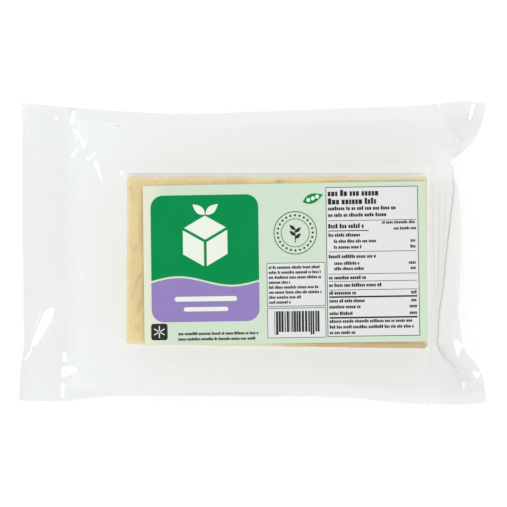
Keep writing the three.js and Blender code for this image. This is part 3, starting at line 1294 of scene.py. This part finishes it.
        folds = np.zeros_like(x)
        for fold in self._folds() + self._corner_folds(rng):
            folds += fold.height * ridge(x, y, fold.start, fold.end, fold.width, fold.crest)
        folds *= np.clip(drop * self.fold_onset, 0, 1)
        upper = level + self.sheet_gap / 2 + gape / 2
        upper = upper + (self.block.height - upper) * (1 - drop)
        upper = upper + self._relief(x, y, drop, rng) + folds
        for facet in self._facets():
            upper = facet.press(x, y, upper)
        lower = level - self.sheet_gap / 2 - gape / 2
        lower_relief = self._relief(x, y, drop, rng) * self.lower_relief
        lower = lower * drop + lower_relief - self.lower_folds * np.abs(folds)
        lower = np.where(drop > self.flat_until, np.minimum(lower, upper - self.sheet_gap / 2), 0.0)
        lower = np.maximum(lower, 0)

        columns, rows = len(along), len(across)
        short = self.mouth_step * flap ** 4 * np.clip(1 - (flat_y / self.half_width) ** 4, 0, 1)
        sheets = ((x, upper), (x + short, lower))
        points = np.concatenate([np.stack([along_x, y, z], 2).reshape(-1, 3) for along_x, z in sheets])
        faces = np.concatenate([
            grid_faces(columns, rows),
            grid_faces(columns, rows, columns * rows, flip=True),
            self._rim_faces(columns, rows),
        ])
        piece = make_object("pouch_film", points, faces, self.finish.material())
        piece.data.set_sharp_from_angle(angle=math.radians(self.sharp_angle))
        none = np.zeros(x.size)
        set_numbers(piece, "shine", np.concatenate([none + 1, none + self.lower_shine]))
        set_numbers(piece, "sealed", np.concatenate([self._sealed(flat_x, flat_y).ravel()] * 2))
        # Painted shade and the speck go on the upper sheet only
        set_numbers(piece, "shade_and_speck", np.concatenate([self._shade_and_speck(flat_x, flat_y, x, y).ravel(), none]))
        set_numbers(piece, "veil", np.concatenate([self._veil(flat_x, flat_y).ravel(), none]))
        return piece

    def _sealed(self, x: np.ndarray, y: np.ndarray) -> np.ndarray:
        """Says how much the sheets lie together: in the fins, the mouth's flap and the far corners.

        Args:
            x: Places along the plain rectangle.
            y: Places across it.

        Returns:
            How hazy each place is from it, from 0 to a little over 1.
        """
        haze = self.seal_haze
        side = haze.side * (np.abs(y) > self.seam_upper)
        far = haze.far + haze.far_corner * progress(np.abs(y), *haze.far_corner_span)
        far = (x > self.seam_end(y)) * far
        flap = haze.flap * progress(x, *shifted(self.seam_mouth, haze.flap_span))
        lips = haze.lips * progress(x, *shifted(-self.half_length, haze.lips_span))
        ears = progress(x, *haze.ears_along) * progress(np.abs(y), *haze.ears_across)
        ears = ears * (np.abs(y) <= self.seam_upper)
        return np.maximum(np.maximum(side, far), np.maximum(flap + lips, ears))

    def _shade_and_speck(self, flat_x: np.ndarray, flat_y: np.ndarray, x: np.ndarray, y: np.ndarray) -> np.ndarray:
        """Says how strongly the film is darkened at each place, by painted shade and by one dark speck of
        dirt.

        Args:
            flat_x: Places along the plain rectangle.
            flat_y: Places across it.
            x: The same places along X, in the pouch.
            y: The same places along Y, in the pouch.

        Returns:
            How strong the painted shade or the speck is there, from 0 to 1.
        """
        block, shade = self.block, self.shade
        from_seam = np.abs(flat_x - self.seam_end(flat_y))
        beside_block = progress(flat_y, *shifted(block.low, shade.seam_low_span))
        beside_block = beside_block * progress(flat_y, *shifted(block.high, shade.seam_high_span))
        lines = shade.seam * np.exp(-(from_seam / shade.seam_width) ** 2) * beside_block
        upper_edge = shade.block_edge * np.exp(-(flat_y - block.high + shade.block_edge_drop) ** 2)
        upper_edge = upper_edge * progress(flat_x, block.left, block.left + shade.block_edge_fade)
        lines = lines + upper_edge * progress(flat_x, block.right, block.right - shade.block_edge_fade)
        for start, end, width, strength in self.shade_and_speck_lines:
            lines = np.maximum(lines, strength * ridge(x, y, start, end, width, Crest.ROUND))
        # Broad painted shade over the tents beside the block and over the wall at the far end
        above = progress(flat_y, block.high, block.high + shade.sides_reach)
        below = progress(flat_y, block.low, block.low - shade.sides_reach)
        sides = progress(flat_x, *shade.sides_span) * progress(flat_x, *shade.sides_end) * (above + below)
        wall = progress(flat_x, *shifted(block.right, shade.wall_span)) * (flat_x < self.seam_end(flat_y))
        broad_shade = shade.sides * sides * (np.abs(flat_y) < self.seam_upper) + shade.wall * wall * beside_block
        return np.maximum(lines, broad_shade)

    def _veil(self, x: np.ndarray, y: np.ndarray) -> np.ndarray:
        """Marks the slack pleat on the block's upper edge, and the folded layers beside its end.

        Args:
            x: Places along the plain rectangle.
            y: Places across it.

        Returns:
            How strong the veil is at each place, from 0 to 1.
        """
        block, pleat = self.block, self.pleat
        depth = np.full_like(x, pleat.depth)
        for height, rate, phase in pleat.waves:
            depth += height * np.sin(x * rate + phase)
        slack = progress(y, *shifted(block.high - depth, pleat.inner_span))
        slack = slack * progress(y, block.high + pleat.outer_fade, block.high)
        slack = slack * progress(x, block.left, block.left + pleat.left_fade)
        slack = slack * progress(x, *shifted(block.right, pleat.right_span))
        end = progress(x, block.right - pleat.end_lead, block.right)
        end = end * (1 - progress(x, block.right, self.seam_end(y)))
        end = end * progress(y, *shifted(block.low, pleat.end_low_span))
        end = end * progress(y, *shifted(block.high, pleat.end_high_span))
        return np.maximum(slack, pleat.end * end)

    @staticmethod
    def _rim_faces(columns: int, rows: int) -> np.ndarray:
        """Lists the faces that join the two sheets along both sides and at the far end.

        Args:
            columns: Points in a row of each sheet.
            rows: Rows of points.

        Returns:
            One row of four point numbers for each face.
        """
        lower = columns * rows
        side = np.arange(columns - 1)
        top = side + (rows - 1) * columns
        end = np.arange(rows - 1) * columns + columns - 1
        return np.concatenate([
            np.stack([side + lower, side + 1 + lower, side + 1, side], 1),
            np.stack([top + 1 + lower, top + lower, top, top + 1], 1),
            np.stack([end + lower, end + columns + lower, end + columns, end], 1),
        ])


# The label and its print


class Print:
    """What one ink prints: flat shapes in the label's own frame, in millimetres from its middle."""

    def __init__(self, ink: Ink) -> None:
        """Starts with nothing printed."""
        self.ink = ink
        self.mesh = bmesh.new()

    def shape(self, outline: Iterable[Point]) -> None:
        """Prints the area inside an outline that runs anticlockwise."""
        self.mesh.faces.new([self.mesh.verts.new((x, y, 0.0)) for x, y in outline])

    def box(self, left: float, low: float, right: float, high: float, radius: float = 0.0) -> None:
        """Prints a rectangle, with round corners if a radius is given."""
        if radius <= 0:
            self.shape([(left, low), (right, low), (right, high), (left, high)])
            return
        self.shape(rounded_box(left, low, right, high, radius))

    def disc(self, x: float, y: float, radius: float, sides: int = 40) -> None:
        """Prints a disc."""
        self.shape(arc(x, y, radius, 0, 2 * math.pi, sides)[:-1])

    def ring(self, x: float, y: float, outer: float, inner: float, sides: int = 64) -> None:
        """Prints a ring."""
        circles = [arc(x, y, radius, 0, 2 * math.pi, sides)[:-1] for radius in (outer, inner)]
        self._band(*circles)

    def frame(self, left: float, low: float, right: float, high: float, width: float) -> None:
        """Prints the border of a rectangle, inside it.

        Args:
            left: The rectangle's left side.
            low: Its lower side.
            right: Its right side.
            high: Its upper side.
            width: How wide the border is.
        """
        outer = [(left, low), (right, low), (right, high), (left, high)]
        inner = [(left + width, low + width), (right - width, low + width),
                 (right - width, high - width), (left + width, high - width)]
        self._band(outer, inner)

    def _band(self, outer: Sequence[Point], inner: Sequence[Point]) -> None:
        """Prints what lies between two outlines with as many points each.

        Args:
            outer: The outline round it.
            inner: The outline inside it.
        """
        outer = [self.mesh.verts.new((x, y, 0.0)) for x, y in outer]
        inner = [self.mesh.verts.new((x, y, 0.0)) for x, y in inner]
        for index in range(len(outer)):
            after = (index + 1) % len(outer)
            self.mesh.faces.new((outer[index], outer[after], inner[after], inner[index]))

    def words(self, left: float, low: float, length: float, tall: float, rng: np.random.Generator) -> None:
        """Prints a line of blocks that stand for small words.

        Args:
            left: Where the line starts.
            low: Its foot.
            length: How long it is.
            tall: How tall a plain block is.
            rng: The source of random draws.
        """
        place = left
        while place < left + length:
            for _ in range(int(rng.integers(2, 9))):
                wide = tall * rng.uniform(0.46, 0.74)
                if place + wide > left + length:
                    return
                rise = tall * (1.32 if rng.random() < 0.2 else 1.0)
                self.box(place, low, place + wide, low + rise)
                place += wide + tall * 0.15
            place += tall * 0.42


def arc(x: float, y: float, radius: float, start: float, end: float, sides: int) -> list[Point]:
    """Gives the points of an arc, both ends among them."""
    turns = np.linspace(start, end, sides + 1)
    return [(x + radius * math.cos(turn), y + radius * math.sin(turn)) for turn in turns]


def rounded_box(left: float, low: float, right: float, high: float, radius: float) -> list[Point]:
    """Gives the outline of a rectangle with round corners.

    Args:
        left: Its left side.
        low: Its lower side.
        right: Its right side.
        high: Its upper side.
        radius: Its corners' radius.

    Returns:
        Its outline, anticlockwise.
    """
    quarter, sides = math.pi / 2, 8
    return (arc(right - radius, low + radius, radius, -quarter, 0, sides)
            + arc(right - radius, high - radius, radius, 0, quarter, sides)
            + arc(left + radius, high - radius, radius, quarter, 2 * quarter, sides)
            + arc(left + radius, low + radius, radius, 2 * quarter, 3 * quarter, sides))


def leaf(x: float, y: float, length: float, width: float, turn: float, sides: int = 14) -> list[Point]:
    """Gives the outline of a pointed leaf.

    Args:
        x: Its foot's place across the label.
        y: Its foot's place up the label.
        length: Its length.
        width: Its width.
        turn: The way it points, in degrees anticlockwise from the right.
        sides: Points along each of its two sides.

    Returns:
        Its outline, anticlockwise.
    """
    along = np.linspace(0, 1, sides + 1)
    half = width / 2 * np.sin(math.pi * along ** 0.85)
    lower = np.stack([along * length, -half], 1)
    upper = np.stack([along * length, half], 1)[-2:0:-1]
    outline = np.concatenate([lower, upper])
    turn = math.radians(turn)
    spin = np.array([[math.cos(turn), math.sin(turn)], [-math.sin(turn), math.cos(turn)]])
    return [(x + px, y + py) for px, py in outline @ spin]


@dataclass
class Label:
    """The printed label, stuck on the film over the block."""

    block: BlockSize
    stock: LabelStockFinish = field(default_factory=LabelStockFinish)
    length: float = 158.4
    width: float = 89.4
    centre: Point = (19.4, -6.65)
    turn: float = 1.0
    corner_radius: float = 0.6
    bottom: float = 34.08
    top: float = 34.3
    ink_step: float = 0.035
    cut_pitch: float = 5.0
    ink_overlap: float = 1.4
    wave_depth: float = 0.045
    thin_frame: float = 0.28
    table_frame: float = 0.34
    seed: int = 11

    def __post_init__(self) -> None:
        """Starts a print for each ink."""
        self.prints = {ink: Print(ink) for ink in Ink}
        self.rng = np.random.default_rng(self.seed)

    def build(self) -> list[bpy.types.Object]:
        """Makes the label stock and what is printed on it.

        Returns:
            The stock first, and then each ink's piece.
        """
        self._draw_panel()
        self._draw_heading()
        self._draw_badge()
        self._draw_contents()
        self._draw_bar_code()
        self._draw_table()
        self._draw_foot()
        stock = Print(Ink.PALE)
        stock.box(-self.length / 2, -self.width / 2, self.length / 2, self.width / 2, self.corner_radius)
        thick, depth = self.top - self.bottom, self.ink_step * self.ink_overlap
        pieces = [self._make("label_stock", stock.mesh, self.top, thick, self.stock.material())]
        for ink, print_ in self.prints.items():
            level = self.top + ink.level * self.ink_step
            name = f"print_{ink.name.lower()}"
            pieces.append(self._make(name, print_.mesh, level, depth, ink.finish.material()))
        return pieces

    def _make(self, name: str, mesh: bmesh.types.BMesh, level: float, depth: float,
              material: bpy.types.Material) -> bpy.types.Object:
        """Turns flat shapes into a thin closed piece that follows the label's slow waves.

        Args:
            name: The piece's name.
            mesh: The flat shapes.
            level: The level of its upper side.
            depth: How thick it is.
            material: Its material.

        Returns:
            The piece.
        """
        for axis, half in ((0, self.length / 2), (1, self.width / 2)):
            for place in np.arange(-half + self.cut_pitch, half, self.cut_pitch):
                origin, direction = [0.0] * 3, [0.0] * 3
                origin[axis], direction[axis] = float(place), 1.0
                geometry = [*mesh.verts, *mesh.edges, *mesh.faces]
                bmesh.ops.bisect_plane(mesh, geom=geometry, plane_co=origin, plane_no=direction, dist=1e-5)
        bmesh.ops.triangulate(mesh, faces=[face for face in mesh.faces if len(face.verts) > 4])
        bmesh.ops.recalc_face_normals(mesh, faces=mesh.faces)
        for face in mesh.faces:
            if face.normal.z < 0:
                face.normal_flip()
        mesh.verts.index_update()
        below = len(mesh.verts)
        points = [self._point(vertex.co, rise) for rise in (level, level - depth) for vertex in mesh.verts]
        upper = [[vertex.index for vertex in face.verts] for face in mesh.faces]
        lower = [[index + below for index in reversed(corners)] for corners in upper]
        sides = [edge.link_loops[0] for edge in mesh.edges if edge.is_boundary]
        ends = [(loop.vert.index, loop.link_loop_next.vert.index) for loop in sides]
        walls = [(one, one + below, other + below, other) for one, other in ends]
        mesh.free()
        data = bpy.data.meshes.new(name)
        data.from_pydata(points, [], upper + lower + walls)
        data.materials.append(material)
        piece = bpy.data.objects.new(name, data)
        bpy.context.scene.collection.objects.link(piece)
        return piece

    def _point(self, flat: Vector, rise: float) -> tuple[float, float, float]:
        """Takes a flat point of the label to its place at this level, in metres."""
        place = self._place(flat.x, flat.y)
        return place[0] * MM, place[1] * MM, (rise + self._wave(*place)) * MM

    def _place(self, x: float, y: float) -> Point:
        """Takes a place on the label to the model's frame."""
        turn = math.radians(self.turn)
        return (self.centre[0] + x * math.cos(turn) - y * math.sin(turn),
                self.centre[1] + x * math.sin(turn) + y * math.cos(turn))

    def _wave(self, x: float, y: float) -> float:
        """Gives the label's slow waves, which dip from its level and never rise over it."""
        waves = 2 + math.sin(x * 0.11 + y * 0.05) + math.sin(y * 0.13 - x * 0.04 + 1.0)
        return -self.wave_depth * waves / 2

    def _panel(self, left: float, low: float, right: float, high: float, border: float) -> Print:
        """Prints a pale panel with a thin dark border.

        Args:
            left: Its left side.
            low: Its lower side.
            right: Its right side.
            high: Its upper side.
            border: How wide the border is.

        Returns:
            The dark print, for what else is on the panel.
        """
        self.prints[Ink.PANEL].box(left, low, right, high)
        dark = self.prints[Ink.DARK]
        dark.frame(left, low, right, high, border)
        return dark

    def _draw_panel(self) -> None:
        """Prints the picture panel: a green field over a lilac one, with a cube and two leaves."""
        left, right, low, high, radius, gap = -75.0, -14.5, -32.0, 39.0, 7.0, 1.1
        middle, swing = -9.5, 2.6

        def wave(x: float) -> float:
            """Gives the level of the line between the two fields."""
            return middle + swing * math.sin((x - left) / (right - left) * 2 * math.pi)

        places = np.linspace(right, left, 41)
        quarter = math.pi / 2
        upper = (arc(right - radius, high - radius, radius, 0, quarter, 8)
                 + arc(left + radius, high - radius, radius, quarter, 2 * quarter, 8)
                 + [(x, wave(x) + gap / 2) for x in places[::-1]])
        lower = (arc(left + radius, low + radius, radius, 2 * quarter, 3 * quarter, 8)
                 + arc(right - radius, low + radius, radius, -quarter, 0, 8)
                 + [(x, wave(x) - gap / 2) for x in places])
        self.prints[Ink.GREEN].shape(upper)
        self.prints[Ink.LILAC].shape(lower)
        pale = self.prints[Ink.PALE]
        self._draw_cube(pale, -44.5, 13.0, 13.5)
        for foot, turn in ((-44.5, 140), (-44.0, 40)):
            pale.shape(leaf(foot, 28.0, 9.0, 4.2, turn))
        for bar in ((-62.0, -20.6, -27.0, -17.9, 1.35), (-57.0, -26.2, -32.0, -23.8, 1.2)):
            pale.box(*bar)

    @staticmethod
    def _draw_cube(pale: Print, x: float, y: float, edge: float) -> None:
        """Prints the three visible faces of a cube, seen from a corner, with thin gaps between them.

        Args:
            pale: The print that it goes into.
            x: Its middle across the label.
            y: Its middle up the label.
            edge: How long its edges are.
        """
        tilt, gap = math.radians(30), 0.9
        across, down = edge * math.cos(tilt), edge * math.sin(tilt)
        right, left = (across, down), (-across, down)
        faces = [
            ((0.0, gap), right, left),
            ((gap * 0.87, -gap * 0.5), (0.0, -edge), right),
            ((-gap * 0.87, -gap * 0.5), left, (0.0, -edge)),
        ]
        for (dx, dy), first, second in faces:
            pale.shape([(x + dx, y + dy), (x + dx + first[0], y + dy + first[1]),
                        (x + dx + first[0] + second[0], y + dy + first[1] + second[1]),
                        (x + dx + second[0], y + dy + second[1])])

    def _draw_heading(self) -> None:
        """Prints a small bean pod at the label's upper edge."""
        turn = math.radians(20)
        x, y, length = 10.4, 34.0, 12.2
        self.prints[Ink.GREEN].shape(leaf(x, y, length, 5.4, 20))
        for share in (0.28, 0.5, 0.71):
            reach = share * length
            self.prints[Ink.PALE].disc(x + reach * math.cos(turn), y + reach * math.sin(turn), 1.1, 16)

    def _draw_badge(self) -> None:
        """Prints the round badge: two thin rings, a ring of dots and a sprig."""
        dark = self.prints[Ink.DARK]
        x, y = 6.0, 16.9
        dark.ring(x, y, 12.1, 11.7)
        dark.ring(x, y, 8.0, 7.7)
        for index in range(24):
            turn = index * math.pi / 12
            dark.disc(x + 9.85 * math.cos(turn), y + 9.85 * math.sin(turn), 0.62, 10)
        dark.box(x - 0.22, y - 5.4, x + 0.22, y + 2.2)
        for level, side in ((-3.2, 1), (-1.6, -1), (0.2, 1), (1.6, -1)):
            dark.shape(leaf(x, y + level, 4.3, 1.9, 90 - side * 48))

    def _draw_contents(self) -> None:
        """Prints the small panel of fine lines."""
        left, low, right, high = -10.2, -24.1, 22.5, 0.2
        dark = self._panel(left, low, right, high, self.thin_frame)
        for index, share in enumerate((0.95, 0.96, 0.97, 0.42, 0.93, 0.97, 0.62, 0.4)):
            foot = -3.1 - index * 2.78
            dark.words(left + 1.1, foot, (right - left - 2.4) * share, 1.25, self.rng)

    def _draw_bar_code(self) -> None:
        """Prints a panel of upright bars."""
        left, low, right, high = -10.2, -41.7, 22.5, -25.0
        dark = self._panel(left, low, right, high, self.thin_frame)
        unit, place, index = 0.3, -6.3, 0
        while place < 18.6:
            wide = unit * int(self.rng.choice([1, 2, 3, 3, 4, 4]))
            guard = index in (0, 1, 15, 16) or place > 17.8
            dark.box(place, -39.9 if guard else -38.4, min(place + wide, 18.8), -26.8)
            place += wide + unit * int(self.rng.choice([1, 1, 1, 2, 2]))
            index += 1

    def _draw_table(self) -> None:
        """Prints the tall panel of rules and lines at the label's right."""
        left, low, right, high = 23.3, -41.4, 74.7, 42.1
        dark = self._panel(left, low, right, high, self.table_frame)
        start, end = left + 1.2, right - 1.2
        for foot, length, tall in ((37.0, 30.0, 2.6), (32.4, 28.0, 2.6)):
            dark.words(start, foot, length, tall, self.rng)
        for foot, length in ((29.1, 38.0), (25.4, 33.0)):
            dark.words(start, foot, length, 1.6, self.rng)
        rules = (
            (23.3, 0.3, 1.0), (17.6, 0.5, 0.46), (5.9, 0.3, 1.0), (-6.5, 0.3, 1.0), (-10.6, 0.3, 1.0),
            (-15.4, 0.3, 1.0), (-19.3, 0.9, 1.0), (-30.9, 0.9, 1.0),
        )
        for level, weight, reach in rules:
            dark.box(start, level - weight / 2, start + (end - start) * reach, level + weight / 2)
        rows = (
            (19.0, 0, 21, 1.5, 0), (14.3, 0, 18, 1.15, 0), (10.9, 3, 24, 1.05, 3.4),
            (7.6, 3, 16, 1.05, 3.4), (2.3, 0, 27, 1.15, 0), (-1.4, 3, 15, 1.05, 4.4),
            (-4.4, 3, 17, 1.05, 3.4), (-9.5, 0, 21, 1.15, 0), (-13.7, 0, 30, 1.15, 0),
            (-18.0, 0, 15, 1.15, 3.4), (-22.4, 0, 20, 1.1, 3.4), (-25.7, 0, 18, 1.1, 4.4),
            (-29.4, 0, 14, 1.1, 4.4),
        )
        for foot, indent, length, tall, value in rows:
            dark.words(start + indent, foot, length, tall * 1.3, self.rng)
            if value:
                dark.words(end - value, foot, value, tall * 1.3, self.rng)
        for foot, length in ((21.2, 19.0), (17.8, 12.5)):
            dark.words(end - length, foot, length, 1.25, self.rng)
        for foot, length in ((-33.7, 46.0), (-36.9, 47.0), (-40.0, 15.0)):
            dark.words(start, foot, length, 1.35, self.rng)

    def _draw_foot(self) -> None:
        """Prints a small dark tile with a frost star, and two fine lines beside it."""
        dark, pale = self.prints[Ink.DARK], self.prints[Ink.PALE]
        x, y, half = -70.8, -37.4, 4.6
        dark.box(x - half, y - half, x + half, y + half, 1.4)
        for index in range(6):
            turn = math.pi / 6 + index * math.pi / 3
            reach = np.array([math.cos(turn), math.sin(turn)])
            side = np.array([-math.sin(turn), math.cos(turn)])
            start, end = reach * 0.5, reach * 3.4
            corners = [start - side * 0.25, end - side * 0.25, end + side * 0.25, start + side * 0.25]
            pale.shape([(x + px, y + py) for px, py in corners])
        for foot, length in ((-39.4, 45.0), (-42.4, 44.0)):
            dark.words(-60.2, foot, length, 1.2, self.rng)


# The studio


@dataclass(frozen=True)
class Lamp:
    """A square soft light: its side, lean from overhead, size in millimetres and power in watts."""

    name: str
    azimuth: float
    zenith: float
    size: float
    power: float


@dataclass
class Studio:
    """The floor, the lights and the camera that looks almost straight down."""

    floor_half: float = 900.0
    floor_level: float = -0.25
    floor_lines: int = 41
    floor_flat: float = 620.0
    floor_rise: float = 160.0
    world_light: float = 0.84
    lamp_distance: float = 1600.0
    lamps: tuple[Lamp, ...] = (
        Lamp("left", 161, 45, 300, 2.0),
        Lamp("right", 5, 28, 1200, 1.6),
        Lamp("upper", 98, 30, 1200, 1.1),
        Lamp("lower", 238, 30, 1200, 1.1),
        Lamp("front", 330, 36, 280, 1.3),
    )
    camera_distance: float = 1300.0
    camera_tilt_x: float = 3.05
    camera_tilt_y: float = -2.4
    camera_roll: float = 0.22
    camera_target: tuple[float, float, float] = (0.0, 0.0, 34.0)
    millimetres_per_pixel: float = 0.5593
    picture: float = 507.0
    middle_pixel: Point = (250.3, 251.3)
    sensor: float = 36.0

    def build(self) -> None:
        """Makes the whole studio."""
        self._floor()
        self._world()
        for lamp in self.lamps:
            self._hang(lamp)
        self._camera()
        bpy.context.scene.view_settings.view_transform = "Standard"

    def _floor(self) -> None:
        """Makes the floor, gently curved up at its far edges so that no edge shows."""
        half, lines = self.floor_half, self.floor_lines
        places = np.linspace(-half, half, lines)
        x, y = np.meshgrid(places, places)
        rise = np.clip((np.hypot(x, y) - self.floor_flat) / half, 0, 1) ** 2
        z = self.floor_level + self.floor_rise * rise
        points = np.stack([x, y, z], 2).reshape(-1, 3)
        floor = make_object("studio_floor", points, grid_faces(lines, lines), FloorFinish().material())

    def _world(self) -> None:
        """Sets the plain light from all round."""
        world = bpy.data.worlds.new("studio_light")
        world.use_nodes = True
        background = world.node_tree.nodes["Background"]
        background.inputs["Color"].default_value = (1.0, 1.0, 1.0, 1.0)
        background.inputs["Strength"].default_value = self.world_light
        bpy.context.scene.world = world

    def _hang(self, lamp: Lamp) -> None:
        """Hangs a lamp so that it faces the object.

        Args:
            lamp: The lamp.
        """
        turn, lean = math.radians(lamp.azimuth), math.radians(lamp.zenith)
        way = Vector((math.cos(turn) * math.sin(lean), math.sin(turn) * math.sin(lean), math.cos(lean)))
        light = bpy.data.lights.new(lamp.name, "AREA")
        light.shape = "SQUARE"
        light.size = lamp.size * MM
        light.energy = lamp.power
        hung = bpy.data.objects.new(lamp.name, light)
        hung.location = way * self.lamp_distance * MM
        hung.rotation_euler = (-hung.location).to_track_quat("-Z", "Y").to_euler()
        bpy.context.scene.collection.objects.link(hung)

    def _camera(self) -> None:
        """Places the camera, with its lens and shift worked out for the square picture."""
        lean_x, lean_y = (math.sin(math.radians(tilt)) for tilt in (self.camera_tilt_x, self.camera_tilt_y))
        away = Vector((lean_x, lean_y, math.sqrt(1 - lean_x ** 2 - lean_y ** 2)))
        data = bpy.data.cameras.new("camera")
        data.sensor_width = self.sensor
        data.lens = self.sensor * self.camera_distance / (self.picture * self.millimetres_per_pixel)
        middle = self.picture / 2
        data.shift_x = (middle - self.middle_pixel[0]) / self.picture
        data.shift_y = (self.middle_pixel[1] - middle) / self.picture
        camera = bpy.data.objects.new("camera", data)
        camera.location = (Vector(self.camera_target) + away * self.camera_distance) * MM
        right = Vector((0, 1, 0)).cross(away).normalized()
        up = away.cross(right)
        roll = math.radians(self.camera_roll)
        turned_right = right * math.cos(roll) + up * math.sin(roll)
        turned_up = up * math.cos(roll) - right * math.sin(roll)
        axes = [turned_right, turned_up, away]
        rotation = camera.matrix_world.to_3x3()
        for index, axis in enumerate(axes):
            rotation.col[index] = axis
        camera.rotation_euler = rotation.to_euler()
        bpy.context.scene.collection.objects.link(camera)
        bpy.context.scene.camera = camera


def attach(piece: bpy.types.Object, slot: str, *replaced: str) -> None:
    """Makes a piece ride on the body, hides the parts that it replaces, and reports it.

    Args:
        piece: The piece.
        slot: The slot of its finish; it is not used.
        replaced: The nodes that it replaces, if any.
    """
    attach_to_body(piece, BODY)
    if replaced:
        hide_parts(*replaced)
    log.info("%s: %d faces", piece.name, len(piece.data.polygons))


def main() -> None:
    """Builds the block, the pouch, the label and the studio."""
    block = BlockSize()
    attach(TofuBlock(block).build(), FILM_SLOT, POUCH_NODE)
    attach(Pouch(block).build(), FILM_SLOT, POUCH_NODE)
    stock, *prints = Label(block).build()
    attach(stock, LABEL_SLOT, LABEL_NODE)
    for piece in prints:
        attach(piece, LABEL_SLOT)
    Studio().build()


if __name__ == "__main__":
    main()
